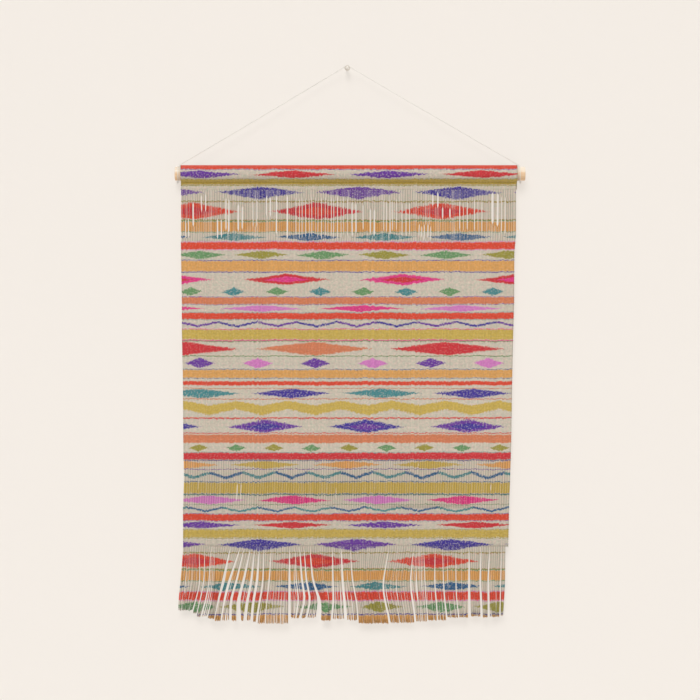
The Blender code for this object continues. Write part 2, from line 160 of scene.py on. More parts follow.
# The fringe's clumps, from the left: length, the x of the gap on the right of each at each of
# FRINGE_LEVELS below the root, and that gap's width low down and at the tips.
FRINGE_LEVELS = (0.0, 44.0, 63.0, 88.0)
FRINGE_LEFT_EDGE = (-195.2, -198.6, -200.7, -201.6)
CLUMPS = (
    (76.2, -176.5, -175.4, -180.1, -187.3, 1.2, 1.8),
    (79.8, -169.4, -170.6, -175.0, -181.3, 1.4, 0.8),
    (83.3, -162.3, -164.6, -168.2, -175.6, 1.0, 1.8),
    (83.3, -158.1, -158.7, -161.1, -168.0, 0.8, 1.2),
    (85.7, -139.0, -148.0, -153.3, -158.7, 3.4, 1.0),
    (88.1, -127.1, -141.3, -146.2, -150.4, 3.4, 1.5),
    (88.1, -122.4, -132.5, -138.7, -139.3, 2.6, 3.0),
    (88.1, -114.6, -124.2, -130.1, -129.1, 3.2, 5.5),
    (88.1, -109.9, -114.6, -119.0, -121.8, 3.0, 4.0),
    (88.1, -104.5, -107.5, -111.7, -114.0, 2.8, 3.5),
    (89.3, -99.2, -100.4, -103.9, -108.1, 1.4, 2.4),
    (91.7, -90.2, -93.2, -95.6, -98.0, 1.6, 1.2),
    (91.7, -68.9, -68.9, -68.9, -68.9, 2.6, 3.5),
    (85.1, -61.9, -60.7, -57.3, -62.3, 1.4, 1.8),
    (85.7, -56.7, -53.9, -49.8, -57.5, 2.2, 2.6),
    (85.1, -51.5, -48.6, -43.2, -49.8, 2.0, 2.6),
    (85.1, -44.8, -40.8, -32.5, -34.9, 2.4, 6.5),
    (88.1, -17.6, -17.0, -16.3, -19.0, 2.0, 2.4),
    (86.3, -7.5, -5.4, -3.6, -1.8, 2.6, 3.5),
    (88.1, 3.2, 6.2, 10.7, 12.7, 1.4, 1.8),
    (91.7, 50.2, 42.1, 44.4, 50.8, 2.0, 2.4),
    (91.1, 78.8, 75.0, 77.4, 81.2, 1.8, 2.4),
    (89.3, 90.7, 92.5, 93.7, 95.5, 1.0, 1.2),
    (88.1, 104.6, 103.9, 105.6, 107.5, 1.4, 1.8),
    (88.1, 113.3, 114.4, 115.7, 119.1, 1.2, 1.8),
    (84.5, 128.8, 129.4, 129.9, 133.0, 1.2, 1.4),
    (83.9, 145.0, 145.0, 145.2, 145.4, 2.8, 3.5),
    (83.3, 159.5, 158.0, 159.2, 160.1, 2.0, 2.4),
    (83.9, 169.4, 167.4, 167.9, 168.5, 2.0, 2.4),
    (83.9, 183.8, 182.5, 182.2, 181.8, 1.2, 1.8),
    (82.1, 188.3, 187.7, 186.6, 185.4, 0.0, 0.0),
)
GAP_ROUNDING = 9.0 * MM  # how far up and down from a level the bend of a gap's line is rounded
CLUMP_LEAN = 1.4 * MM
SLIT_TAPER = 3.6 * MM  # length in which a slit opens and closes
# A bare yarn's rings: 0 and 5 are its ends, 1 and 4 its slit's ends, and between 2 and 3 the slit is open.
BAND_STOPS = (0.0, 0.12, 1.0, 1.33, 1.67, 2.0, 2.5, 3.0, 3.33, 3.67, 4.0, 4.88, 5.0)

# The yarns

WARP_YARNS = 274
WARP_PITCH = CLOTH_WIDTH / WARP_YARNS
WEFT_PITCH = 1.4 * MM
YARN_RADIUS = 0.72 * MM
# Shares of that radius, drawn for each yarn: in the open band and the fringe, and in the close band.
LOOSE_SHARES = (0.84, 0.97, 1.04)
CLOSE_SHARES = (0.97, 1.02, 1.06)
SHED = 0.42 * MM  # how far every other warp yarn lies behind, and the rest before, the middle
YARN_SIDES = 5
FIRST_CORNER = math.radians(18.0)  # puts one corner of a five-sided yarn straight in front
PLY_PITCH = 2.6 * MM
PLY_SHIFT = 0.37  # turns by which each yarn's twist starts later than its neighbour's
YARN_HELD = 1.4 * MM  # length of each bare yarn's ends in the weave
YARN_FREE = 8.0 * MM  # length in which it moves from the weave to its own place
# Its own wave: the drop in which the phase grows by one radian, and the reach sideways and in depth.
YARN_WAVE = 13.0 * MM
YARN_REACH_X = 0.04 * MM
YARN_REACH_Y = 0.12 * MM
SLIT_MARGIN = 0.5 * MM  # between a slit's end and the weave
PUSH_FADE = 0.6  # how much of a slit's push each yarn passes on to the next
SEEN_PRINT = 0.9  # a yarn's `ink` where its printed side is in front
FRINGE_RINGS = 13
FRINGE_HELD = 1.2 * MM  # length of a loose yarn's upper end in the weave
FRINGE_SPREAD = 9.0 * MM  # length in which a yarn moves from the weave to its clump
SHORTER_YARN = (0.2, 1.3)  # least and most millimetres that a yarn is shorter than its clump
WANDER_START = 4.0 * MM  # depth from which loose yarns stray, and where they stray in full
WANDER_FULL = 60.0 * MM
# A loose yarn's own waves: the drops in which their phases grow by one radian, sideways, in depth and
# in how the print is turned, and the reach of the second.
LOOSE_WAVES = (15.0 * MM, 18.0 * MM, 20.0 * MM)
LOOSE_REACH_Y = 0.3 * MM
# Reach sideways in millimetres: shape and scale of its gamma draw, and that of a clump's outer yarns,
# which keeps the gaps open.
LOOSE_REACH_X = (1.6, 0.21)
OUTER_REACH_X = 0.15
LOOSE_DEEP = (0.2, 2.0)  # millimetres before or behind the rest, and what a squeezed clump adds to it
PRINT_TURN = 0.45  # spread of the angle by which a loose yarn's print is turned, in radians
FRAYED_PLIES = 3
FRAYED_RINGS = 4
FRAYED_SIDES = 4
FRAYED_RADIUS = 0.24 * MM
FRAYED_OUT = 0.25 * MM  # from the yarn's line to the ply's, at its start
FRAYED_ASIDE = 0.8  # the most that a ply's direction is off its own third of the circle, in radians
FRAYED_INK = (-0.2, 0.9)
FRAYED_LENGTH = (1.5, 2.5)  # in millimetres, as is their spread at the tip
FRAYED_SPREAD = (0.1, 0.5)
FRAYED_START = 1.2 * MM  # how far up in the yarn its plies begin to part
YARN_SEED = 23

# The selvedges, the edges' picks and the seam

WEFT_TURN_X = 0.32 * MM  # half width and half depth of the weft's turns round the edge yarn
WEFT_TURN_Y = 0.42 * MM
WEFT_TURN_STEPS = 10
WEFT_TURN_RADIUS = 0.26 * MM
WEFT_TURN_INWARD = 0.1 * MM
PICK_RADIUS = 0.4 * MM
PICK_SIDES = 4
PICK_REACH = 0.5 * MM  # how far a pick goes before and behind the middle
PICK_PAST = 0.0004  # how far it goes on past the cloth's sides, in shares of the width
PICK_INSIDE = 0.25  # pitches between the edge and its outermost pick
PICK_UNEVEN = 0.25 * MM
PICK_WAVES = 37.0  # radians that its unevenness turns over the width
STITCH_PITCH = 3.2 * MM
STITCH_LENGTH = 2.7 * MM
STITCH_RADIUS = 0.2 * MM
STITCH_ARC = 0.3 * MM
STITCH_SINK = 0.12 * MM  # how deep in the cloth a stitch starts and ends
STITCH_RINGS = 6
SEAM_WAVER = 0.1 * MM  # and the length in which its phase grows by one radian
SEAM_WAVE = 11.0 * MM
SEAM_STARTS = 2.4 * MM  # inside the left edge, and how far inside the right one it ends
SEAM_ENDS = 4.0 * MM

# The hanging cord

CORD_RADIUS = 0.4 * MM
CORD_PLIES = 3
CORD_LAY = 4.2 * MM  # length in which a ply goes round once
CORD_SIDES = 6
CORD_STEP = 0.3 * MM  # between the rings of the straight run, and of the turns round the dowel
LOOP_STEP = 0.35 * MM
ROUTE_STEPS = 12  # points on the curve between two of CORD_ROUTE's
CORD_ROUTE = (
    (-198.7, -10.4, -115.0),
    (-172.0, -10.1, -99.2),
    (-144.0, -9.7, -82.6),
    (-116.0, -9.4, -66.0),
    (-88.0, -9.1, -49.3),
    (-60.0, -8.7, -32.5),
    (-34.0, -8.4, -16.9),
    (-14.0, -8.2, -4.9),
    (-5.0, -8.1, 0.45),
    (-1.52, -8.0, 2.53),
    (-0.76, -8.0, 2.86),
    (0.0, -8.0, 2.97),
    (0.76, -8.0, 2.86),
    (1.52, -8.0, 2.53),
    (5.0, -8.1, 0.5),
    (14.0, -8.2, -4.8),
    (34.0, -8.4, -16.5),
    (60.0, -8.7, -31.8),
    (88.0, -9.1, -48.2),
    (116.0, -9.4, -64.5),
    (144.0, -9.7, -80.8),
    (172.0, -10.1, -97.0),
    (203.0, -10.4, -115.0),
)
LOOP_LEFT = -199.2 * MM
LOOP_RIGHT = 203.3 * MM
LOOP_GAP = 0.05 * MM
LOOP_RADIUS = DOWEL_RADIUS + LOOP_GAP + CORD_RADIUS
LOOP_PITCH = 1.6 * MM
LOOP_TURNS = 1.5
PLY_OFFSET = 0.5  # a ply's distance from the cord's middle and its own radius, in shares of the cord's
PLY_THICK = 0.52
KNOT_STRAND = 0.42 * MM
KNOT_ABOVE = 0.36 * MM  # the two knots' units: a knot is about 5.5 of its own wide
KNOT_BELOW = 0.3 * MM
KNOT_POINT = -9  # the lower knot's place, counted back from the tail's tip
KNOT_DROP = 0.7 * MM  # how far the upper knot is below the end of the cord's route
# The loop's knot and tail under the dowel: outward x, y, z from the end of its turns.
TAIL = (
    (0.1, 0.7, -0.4),
    (0.3, 1.0, -1.2),
    (0.6, 0.9, -2.1),
    (0.9, 0.6, -2.8),
    (1.3, 0.3, -4.0),
)

# The dowel's eased edge, and the peg's stem and the place where its head starts

DOWEL_EDGE = 0.8 * MM
PEG_STEM = 2.1 * MM
PEG_NECK = 10.4 * MM

# The camera stands straight in front. The photograph is PHOTO_PIXELS square, the woven panel is
# PANEL_PIXELS wide in it, and the peg is at PEG_PIXEL.
PHOTO_PIXELS = 700
PANEL_PIXELS = 336
PEG_PIXEL = (347.3, 68.0)
LENS = 100.0
SENSOR = 36.0

# The print: a generic chart of straight bands, lozenges and zigzags. Colours are display values.
INKS = {
    "sand": (205, 193, 170),
    "coral": (214, 74, 54),
    "crimson": (200, 56, 62),
    "orange": (206, 124, 88),
    "amber": (214, 158, 92),
    "ochre": (196, 168, 84),
    "magenta": (216, 62, 130),
    "orchid": (206, 124, 186),
    "violet": (106, 60, 152),
    "indigo": (70, 58, 146),
    "blue": (54, 98, 138),
    "teal": (74, 134, 138),
    "green": (104, 146, 98),
    "olive": (152, 144, 66),
}
GROUND = ((209, 191, 176), (195, 191, 172))
# How each kind of row is drawn, in shares of its height: half its width, how far it swells and shrinks,
# how far it zigzags, and how far in from its edge its core starts, where it has one.
KINDS = {
    "band": (0.42, 0.0, 0.0, 0.0),
    "slim": (0.22, 0.0, 0.0, 0.0),
    "long": (0.19, 0.25, 0.0, 0.0),
    "cored": (0.14, 0.29, 0.0, 0.2),
    "diamond": (0.03, 0.4, 0.0, 0.0),
    "zigzag": (0.13, 0.0, 0.24, 0.0),
    "chevron": (0.26, 0.0, 0.15, 0.0),
}
# From the hem's edge on: first ink, ink of every other motif, kind, repeat in millimetres, ink of the
# thin line above the row.
CHART = (
    ("ochre", "ochre", "band", 40, "blue"),
    ("magenta", "orchid", "long", 104, "green"),
    ("teal", "blue", "zigzag", 44, "sand"),
    ("coral", "coral", "band", 40, "violet"),
    ("crimson", "violet", "long", 112, "sand"),
    ("ochre", "ochre", "band", 40, "olive"),
    ("violet", "indigo", "long", 118, "sand"),
    ("crimson", "coral", "cored", 148, "olive"),
    ("amber", "amber", "band", 40, "green"),
    ("blue", "teal", "long", 90, "sand"),
    ("coral", "coral", "band", 40, "orchid"),
    ("olive", "green", "long", 74, "sand"),
    ("amber", "amber", "band", 40, "indigo"),
    ("magenta", "crimson", "cored", 140, "sand"),
    ("teal", "green", "diamond", 52, "sand"),
    ("orange", "orange", "band", 40, "violet"),
    ("magenta", "orchid", "long", 120, "sand"),
    ("coral", "coral", "band", 40, "teal"),
    ("indigo", "violet", "zigzag", 48, "sand"),
    ("ochre", "ochre", "band", 40, "magenta"),
    ("crimson", "orange", "long", 160, "green"),
    ("orchid", "violet", "diamond", 70, "sand"),
    ("amber", "amber", "band", 40, "blue"),
    ("coral", "coral", "slim", 40, "sand"),
    ("indigo", "teal", "long", 110, "orange"),
    ("ochre", "ochre", "chevron", 64, "sand"),
    ("indigo", "violet", "cored", 124, "coral"),
    ("orange", "orange", "band", 40, "sand"),
    ("green", "olive", "diamond", 46, "sand"),
    ("crimson", "crimson", "band", 40, "teal"),
    ("amber", "ochre", "long", 100, "violet"),
    ("blue", "teal", "zigzag", 40, "sand"),
)
ROW_HEIGHT = 13.2 * MM
# Two waves along the cloth make the rows uneven: length, start in radians, height in rows.
ROW_WAVES = ((231.0 * MM, 0.6, 0.46), (83.0 * MM, 2.1, 0.34))
THIN_LINE = 0.435  # where the thin line starts, in shares of a row from its middle
LONGEST_REPEAT = 160.0  # millimetres, the repeat that the chart's ramp holds as 1
INK_BLEED = 1.2 * MM  # how far one warp yarn carries the ink further than another
INK_WAVER = 2.4 * MM  # how far a printed edge strays, from one side to the other


# Shapes


def eased(value, start, end):
    """0 before `start`, 1 after `end`, and the smooth step 3s² - 2s³ between them."""
    share = np.clip((value - start) / (end - start), 0.0, 1.0)
    return share * share * (3 - 2 * share)


def unit(vectors):
    return vectors / np.linalg.norm(vectors, axis=-1, keepdims=True)


def distances(lines):
    """How far along its line each point is."""
    steps = np.linalg.norm(np.diff(lines, axis=-2), axis=-1)
    return np.concatenate((np.zeros_like(steps[..., :1]), np.cumsum(steps, axis=-1)), axis=-1)


def square_to(lines, reference):
    """For each point of the lines, the direction square to its line and to `reference`, and the one
    square to its line and to the first."""
    tangent = unit(np.gradient(lines, axis=-2))
    side = unit(np.cross(np.array(reference), tangent))
    return side, np.cross(tangent, side)


def stand_out(x, down):
    """How far the panel stands behind its plane: a broad and a narrow sine wave across it, which grow from
    the open band on."""
    broad = BROAD_WAVE * np.sin(TURN * (x / BROAD_LENGTH + BROAD_START))
    narrow = NARROW_WAVE * np.sin(TURN * (x / NARROW_LENGTH - down / NARROW_SLANT))
    return eased(down, BAND_TOP, WAVES_FULL) * (broad + narrow)


def side_edges(down):
    """x of the cloth's left and right edges: straight lines between the rows of OUTLINE."""
    at, left, right = np.array(OUTLINE).T * MM
    return np.interp(down, at, left), np.interp(down, at, right)


def sleeve_section():
    """(y, z) along the middle of the cloth, from the hem's edge behind, up and over the dowel, and down in
    front to where the panel falls: a part of a circle round the dowel's axis, joined to the two upright
    layers by arcs of TURN_RADIUS."""
    reach = SLEEVE_RADIUS + TURN_RADIUS
    aside = LAYER_STEP / 2 + TURN_RADIUS
    drop = math.sqrt(reach**2 - aside**2)
    lean = math.atan2(drop, aside)
    bend = np.linspace(0.0, lean, BEND_STEPS)
    turned_y = aside - TURN_RADIUS * np.cos(bend)
    turned_z = TURN_RADIUS * np.sin(bend) - drop
    hem_y = np.full(HEM_STEPS, LAYER_STEP / 2)
    hem_z = np.linspace(-HEM_END, -drop, HEM_STEPS + 1)[:-1]
    over = np.linspace(-lean, math.pi + lean, OVER_STEPS)[1:-1]
    y = np.concatenate((hem_y, turned_y, SLEEVE_RADIUS * np.cos(over), -turned_y[::-1]))
    z = np.concatenate((hem_z, turned_z, SLEEVE_RADIUS * np.sin(over), turned_z[::-1]))
    return np.column_stack((DOWEL_Y + y, DOWEL_Z + z))


def grid_faces(rows, columns):
    """The four corners of each cell of a grid of rows × columns points."""
    start = (np.arange(rows - 1)[:, None] * columns + np.arange(columns - 1)).ravel()
    return np.column_stack((start, start + 1, start + columns + 1, start + columns))


def tube_faces(rings, sides):
    """A tube's walls and its two ends as corners, and the ring and the place round it of each wall's
    corners. The place goes from 0 to `sides`, so that a map of the tube has an edge there."""
    ring, place = np.divmod(grid_faces(rings, sides + 1), sides + 1)
    end = np.arange(sides)
    ends = np.stack((end[::-1], end + (rings - 1) * sides))
    return ring * sides + place % sides, ends, ring, place


def add_piece(name, points, faces, maps=None, values=None, materials=(), flat_ends=False):
    """A mesh object at the origin. `faces` is a list of arrays of corners, `maps` gives for each UV map a
    list of arrays that match `faces`, and `values` gives one number a point. With `flat_ends` the last
    array of faces is shaded flat, so that an end doesn't shade the walls next to it."""
    mesh = bpy.data.meshes.new(name)
    listed = [face for part in faces for face in part.tolist()]
    mesh.from_pydata(points.tolist(), [], listed)
    for label, parts in (maps or {}).items():
        corners = np.concatenate([part.reshape(-1, 2) for part in parts])
        mesh.uv_layers.new(name=label).data.foreach_set("uv", corners.ravel().astype(np.float32))
    for label, numbers in (values or {}).items():
        made = mesh.attributes.new(label, "FLOAT", "POINT")
        made.data.foreach_set("value", numbers.ravel().astype(np.float32))
    for material in materials:
        mesh.materials.append(material)
    mesh.shade_smooth()
    if flat_ends:
        smooth = np.ones(len(listed), bool)
        smooth[-len(faces[-1]) :] = False
        mesh.polygons.foreach_set("use_smooth", smooth)
    made = bpy.data.objects.new(name, mesh)
    bpy.context.scene.collection.objects.link(made)
    return made


def tubes(name, lines, radius, sides, material, flat=0.0, ink=0.0, reference=(0.0, -1.0, 0.0)):
    """Round yarns along many lines at once, closed at both ends.

    Each ring is centre + radius · (cos a · side + sin a · front). `side` is square to the line and to
    `reference`, and `front` is square to both. `lines` is strands × rings × 3. `radius`, `flat` and `ink`
    hold for all or are given for each ring: `flat` is its place on the flat cloth, for the map Cloth, and
    `printed` is 0.5 + ink · sin a. The map Ply counts turns round and lengths of PLY_PITCH."""
    strands, rings = lines.shape[:2]
    side, front = square_to(lines, reference)
    angle = FIRST_CORNER + np.arange(sides) * TURN / sides
    around = side[:, :, None] * np.cos(angle)[:, None] + front[:, :, None] * np.sin(angle)[:, None]
    radii = np.broadcast_to(radius, (strands, rings))[:, :, None, None]
    points = lines[:, :, None] + radii * around
    walls, ends, ring, place = tube_faces(rings, sides)
    first = (np.arange(strands) * rings * sides)[:, None, None]
    length = distances(lines) / PLY_PITCH + PLY_SHIFT * np.arange(strands)[:, None]
    turned = np.broadcast_to(place / sides, (strands, *place.shape))
    ply_walls = np.stack((turned, length[:, ring]), axis=-1)
    flat = np.broadcast_to(flat, (strands, rings, 2))
    flat_ends = np.broadcast_to(flat[:, [0, -1]][:, :, None], (strands, 2, sides, 2))
    inks = np.broadcast_to(ink, (strands, rings))[:, :, None]
    return add_piece(
        name,
        points.reshape(-1, 3),
        [(walls + first).reshape(-1, 4), (ends + first).reshape(-1, sides)],
        {"Cloth": [flat[:, ring], flat_ends], "Ply": [ply_walls, np.zeros(flat_ends.shape)]},
        {"printed": np.clip(0.5 + inks * np.sin(angle), 0.0, 1.0)},
        [material],
        flat_ends=True,
    )


def turned_piece(name, profile, sides, centre, axis, material):
    """A solid of revolution: each (distance, radius) pair of `profile` is a ring of centre + distance ·
    axis + radius · (cos a · up + sin a · across), and the two end rings are filled."""
    axis = np.array(axis)
    up = np.array((0.0, 1.0, 0.0) if axis[2] else (0.0, 0.0, 1.0))
    across = np.cross(axis, up)
    angle = np.arange(sides) * TURN / sides
    around = np.cos(angle)[:, None] * up + np.sin(angle)[:, None] * across
    distance, radius = np.array(profile).T[:, :, None, None]
    points = np.array(centre) + distance * axis + radius * around
    walls, ends = tube_faces(len(profile), sides)[:2]
    return add_piece(name, points.reshape(-1, 3), [walls, ends], materials=[material], flat_ends=True)


def smooth_curve(route, steps):
    """Points on the Catmull-Rom curve through `route`, `steps` for each stretch, with both ends."""
    points = np.asarray(route, float)
    padded = np.vstack((2 * points[0] - points[1], points, 2 * points[-1] - points[-2]))
    before, start, end, after = (padded[shift : len(points) - 1 + shift, None] for shift in range(4))
    share = (np.arange(steps) / steps)[None, :, None]
    curve = 0.5 * (
        2 * start
        + (end - before) * share
        + (2 * before - 5 * start + 4 * end - after) * share**2
        + (3 * start - before - 3 * end + after) * share**3
    )
    return np.vstack((curve.reshape(-1, 3), points[-1:]))


def respaced(line, step):
    """The line's points moved to be `step` apart along it."""
    run = distances(line)
    at = np.linspace(0.0, run[-1], max(8, round(run[-1] / step)))
    return np.column_stack([np.interp(at, run, line[:, axis]) for axis in range(3)])


# Materials


def linear(display):
    """A display colour, 0 to 255, as the light that it stands for."""
    value = np.array(display) / 255
    light = np.where(value <= 0.04045, value / 12.92, ((value + 0.055) / 1.055) ** 2.4)
    return (*light.tolist(), 1.0)


class Signal:
    """One output of a node. Reckoning with it adds Math nodes to its tree."""

    def __init__(self, wires, socket):
        self.wires = wires
        self.socket = socket

    def __add__(self, other):
        return self.wires.calc("ADD", self, other)

    def __sub__(self, other):
        return self.wires.calc("SUBTRACT", self, other)

    def __rsub__(self, other):
        return self.wires.calc("SUBTRACT", other, self)

    def __mul__(self, other):
        return self.wires.calc("MULTIPLY", self, other)

    def __truediv__(self, other):
        return self.wires.calc("DIVIDE", self, other)

    def __abs__(self):
        return self.wires.calc("ABSOLUTE", self)


class Wires:
    """Adds nodes to one tree. A value may be a number, a colour or a Signal."""

    def __init__(self, tree):
        self.tree = tree

    def feed(self, value, socket):
        if isinstance(value, Signal):
            self.tree.links.new(value.socket, socket)
        else:
            socket.default_value = value

    def put(self, kind, inputs=None, **settings):
        """A new node, its settings made before its inputs are fed."""
        made = self.tree.nodes.new(kind)
        for label, value in settings.items():
            setattr(made, label, value)
        for label, value in (inputs or {}).items():
            self.feed(value, made.inputs[label])
        return made

    def outputs(self, node):
        return [Signal(self, socket) for socket in node.outputs]

    def value(self, kind, inputs=None, output=0, **settings):
        """One output of a new node."""
        return Signal(self, self.put(kind, inputs, **settings).outputs[output])

    def calc(self, operation, *values):
        return self.value("ShaderNodeMath", dict(enumerate(values)), operation=operation)

    def span(self, value, low, high, to_low=0.0, to_high=1.0):
        """A smooth step of `value` from low to high."""
        ends = {"Value": value, "From Min": low, "From Max": high, "To Min": to_low, "To Max": to_high}
        return self.value("ShaderNodeMapRange", ends, interpolation_type="SMOOTHSTEP")

    def mix(self, share, first, second, way="MIX"):
        inputs = {0: share, 6: first, 7: second}
        return self.value("ShaderNodeMix", inputs, 2, data_type="RGBA", blend_type=way)

    def split(self, vector):
        return self.outputs(self.put("ShaderNodeSeparateXYZ", {0: vector}))

    def parts(self, colour):
        return self.outputs(self.put("ShaderNodeSeparateColor", {0: colour}))

    def join(self, x, y, z=0.0):
        return self.value("ShaderNodeCombineXYZ", {0: x, 1: y, 2: z})

    def noise(self, place, scale, detail=2.0):
        return self.value("ShaderNodeTexNoise", {"Vector": place, "Scale": scale, "Detail": detail})

    def scatter(self, number):
        """A number from 0 to 1 that jumps at each whole number."""
        whole = self.calc("FLOOR", number)
        return self.value("ShaderNodeTexWhiteNoise", {"W": whole}, noise_dimensions="1D")

    def odd(self, whole):
        """1 for an odd whole number and 0 for an even one."""
        return self.calc("GREATER_THAN", self.calc("WRAP", whole, 2.0, 0.0), 0.5)

    def ramp(self, share, colours):
        """The colour and the alpha of a ramp of equal steps, one a colour."""
        made = self.put("ShaderNodeValToRGB", {0: share})
        made.color_ramp.interpolation = "CONSTANT"
        stops = made.color_ramp.elements
        while len(stops) < len(colours):
            stops.new(len(stops) / len(colours))
        for number, colour in enumerate(colours):
            stops[number].position = number / len(colours)
            stops[number].color = colour
        return self.outputs(made)


class Finish(Wires):
    """A new material, its tree and its shader."""

    def __init__(self, name, roughness, sheen=0.0):
        self.material = bpy.data.materials.new(name)
        self.material.use_nodes = True
        super().__init__(self.material.node_tree)
        self.shader = self.tree.nodes["Principled BSDF"]
        self.shader.inputs["Roughness"].default_value = roughness
        self.shader.inputs["Specular IOR Level"].default_value = 0.25
        self.shader.inputs["Sheen Weight"].default_value = sheen
        self.shader.inputs["Sheen Roughness"].default_value = 0.5

    def chart(self, label):
        """The place in a UV map."""
        return self.value("ShaderNodeUVMap", uv_map=label)

    def object_place(self):
        return self.value("ShaderNodeTexCoord", output="Object")

    def paint(self, colour, tone=None):
        """Sets the colour, times `tone` where that is given."""
        if tone:
            colour = self.mix(1.0, colour, self.join(tone, tone, tone), "MULTIPLY")
        self.feed(colour, self.shader.inputs["Base Color"])

    def relief(self, height, strength, distance):
        bump = {"Height": height, "Strength": strength, "Distance": distance}
        self.feed(self.value("ShaderNodeBump", bump), self.shader.inputs["Normal"])


def swing(signal, width):
    """A number from 0 to 1 as one from half of `width` below 0 to half above it."""
    return (signal - 0.5) * width


def shader_group(name, inputs, outputs):
    """An empty node group: its wires, its inputs, the sockets of its outputs, and the group."""
    group = bpy.data.node_groups.new(name, "ShaderNodeTree")
    for way, sockets in (("INPUT", inputs), ("OUTPUT", outputs)):
        for label, kind in sockets.items():
            group.interface.new_socket(label, in_out=way, socket_type=f"NodeSocket{kind}")
    wires = Wires(group)
    given = wires.outputs(wires.put("NodeGroupInput"))[: len(inputs)]
    return wires, given, wires.put("NodeGroupOutput").inputs, group


def print_group():
    """The chart as inks on the cloth: Place is (x, along) on the flat cloth, in metres, and Show is the
    share of the ink that reaches this side.

    A smooth, rising function of `along` counts the rows, which makes them uneven in height. Its whole
    part picks the row's inks and motif, and its fraction is the place in the row. The ink covers where
    half width + swell · triangle wave is more than the distance from the zigzagging middle line. It
    leaves specks bare, and more of them the less red the ink is."""
    wires, (place, show), out, group = shader_group(
        "Chart print", {"Place": "Vector", "Show": "Float"}, {"Colour": "Color"}
    )
    calc = wires.calc
    x, along, _ = wires.split(place)
    bleed = swing(wires.scatter(x / WARP_PITCH), INK_BLEED)
    moved = along + bleed + swing(wires.noise(place, 30.0), INK_WAVER)
    count = moved / ROW_HEIGHT
    for length, start, rows in ROW_WAVES:
        count = count + calc("SINE", moved * (TURN / length) + start) * rows
    row = (calc("WRAP", calc("FLOOR", count), float(len(CHART)), 0.0) + 0.5) / float(len(CHART))
    height = calc("FRACT", count) - 0.5

    first, second, thin = (
        wires.ramp(row, [linear(INKS[line[column]]) for line in CHART])[0] for column in (0, 1, 4)
    )
    form, core = wires.ramp(row, [KINDS[line[2]] for line in CHART])
    half, swell, zigzag = wires.parts(form)
    lengths = [
        (line[3] / LONGEST_REPEAT, float(line[4] != "sand"), (7 * number % 10) / 10, 1.0)
        for number, line in enumerate(CHART)
    ]
    repeat, lined, phase = wires.parts(wires.ramp(row, lengths)[0])
    turns = x / (repeat * (LONGEST_REPEAT * MM)) + phase
    wave = abs(calc("FRACT", turns) - 0.5) * 4.0 - 1.0
    inside = swell * wave + half - abs(height - zigzag * wave)
    rough = swing(wires.noise(place, 650.0, 1.0), 0.2)
    body = wires.span(inside + rough, -0.03, 0.05)
    edge = wires.span(abs(height) - THIN_LINE + rough, -0.03, 0.03) * lined

    other = wires.odd(calc("FLOOR", turns + 0.5))
    in_core = wires.span(inside - core, -0.02, 0.03) * calc("GREATER_THAN", core, 0.01)
    ink = wires.mix(edge, wires.mix(abs(other - in_core), first, second), thin)
    bare = wires.span(wires.noise(place, 540.0, 1.0), 0.46, 0.34)
    speckled = wires.span(wires.parts(ink)[0], 0.12, 0.5, 0.5, 0.16)
    cover = calc("MAXIMUM", body, edge) * show * (1.0 - bare * speckled)
    mottle = wires.span(wires.noise(place, 330.0), 0.3, 0.7)
    ground = wires.mix(mottle, linear(GROUND[0]), linear(GROUND[1]))
    wires.feed(wires.mix(cover, ground, ink), out["Colour"])
    return group


def weave_group():
    """Plain weave on the flat cloth: Height is the yarns' relief and Tone their uneven tone, partly painted
    shade.

    With U and V the place in warp and weft pitches, sin πU · sin πV is positive where a warp yarn lies on
    top and negative where a weft yarn does. A yarn on top is round across, |sin|, and flat along, |sin| to
    a small power. Tone is partly random from yarn to yarn and in clouds, and partly painted shade: darker
    where the relief is low, and, below the close band, darker still in the furrows between the warp yarns,
    so that the warp shows as ribs."""
    wires, (place,), out, group = shader_group(
        "Plain weave", {"Place": "Vector"}, {"Height": "Float", "Tone": "Float"}
    )
    calc = wires.calc
    x, along, _ = wires.split(place)
    wander = swing(wires.noise(place, 60.0), 1.1 * MM)
    across = (x + wander) / WARP_PITCH
    up = (along - wander) / WEFT_PITCH
    warp = calc("SINE", across * math.pi)
    weft = calc("SINE", up * math.pi)
    on_top = wires.span(warp * weft, -0.08, 0.08)
    warp = abs(warp)
    weft = abs(weft)
    warp_form = calc("POWER", warp, 0.8) * calc("POWER", weft, 0.3)
    weft_form = calc("POWER", weft, 0.8) * calc("POWER", warp, 0.4) * 0.82
    height = warp_form * on_top + weft_form * (1.0 - on_top)
    each_yarn = swing(wires.scatter(across), 0.09) + swing(wires.scatter(up + 700.0), 0.05)
    cloudy = swing(wires.noise(place, 430.0, 3.0), 0.6)
    # Painted shade: the low parts of the relief are painted darker, and below the close band the furrows
    # between warp yarns darker still.
    painted_furrow_shade = wires.span(along, FOOT_START - 1 * MM, FOOT_START + 1 * MM, 0.0, -0.2)
    tone = each_yarn + cloudy + wires.span(height, 0.1, 0.8, 0.9, 1.04) + painted_furrow_shade * (1.0 - warp)
    wires.feed(height, out["Height"])
    wires.feed(tone, out["Tone"])
    return group


def cloth_material(name, chart, weave, show):
    """Printed cloth. `show` is how much of the ink reaches this side."""
    cloth = Finish(name, 0.92, 0.12)
    place = cloth.chart("Cloth")
    inks = cloth.value("ShaderNodeGroup", {"Place": place, "Show": show}, node_tree=chart)
    height, tone = cloth.outputs(cloth.put("ShaderNodeGroup", {"Place": place}, node_tree=weave))
    cloth.paint(inks, tone)
    cloth.relief(height, 0.7, 0.35 * MM)
    return cloth.material


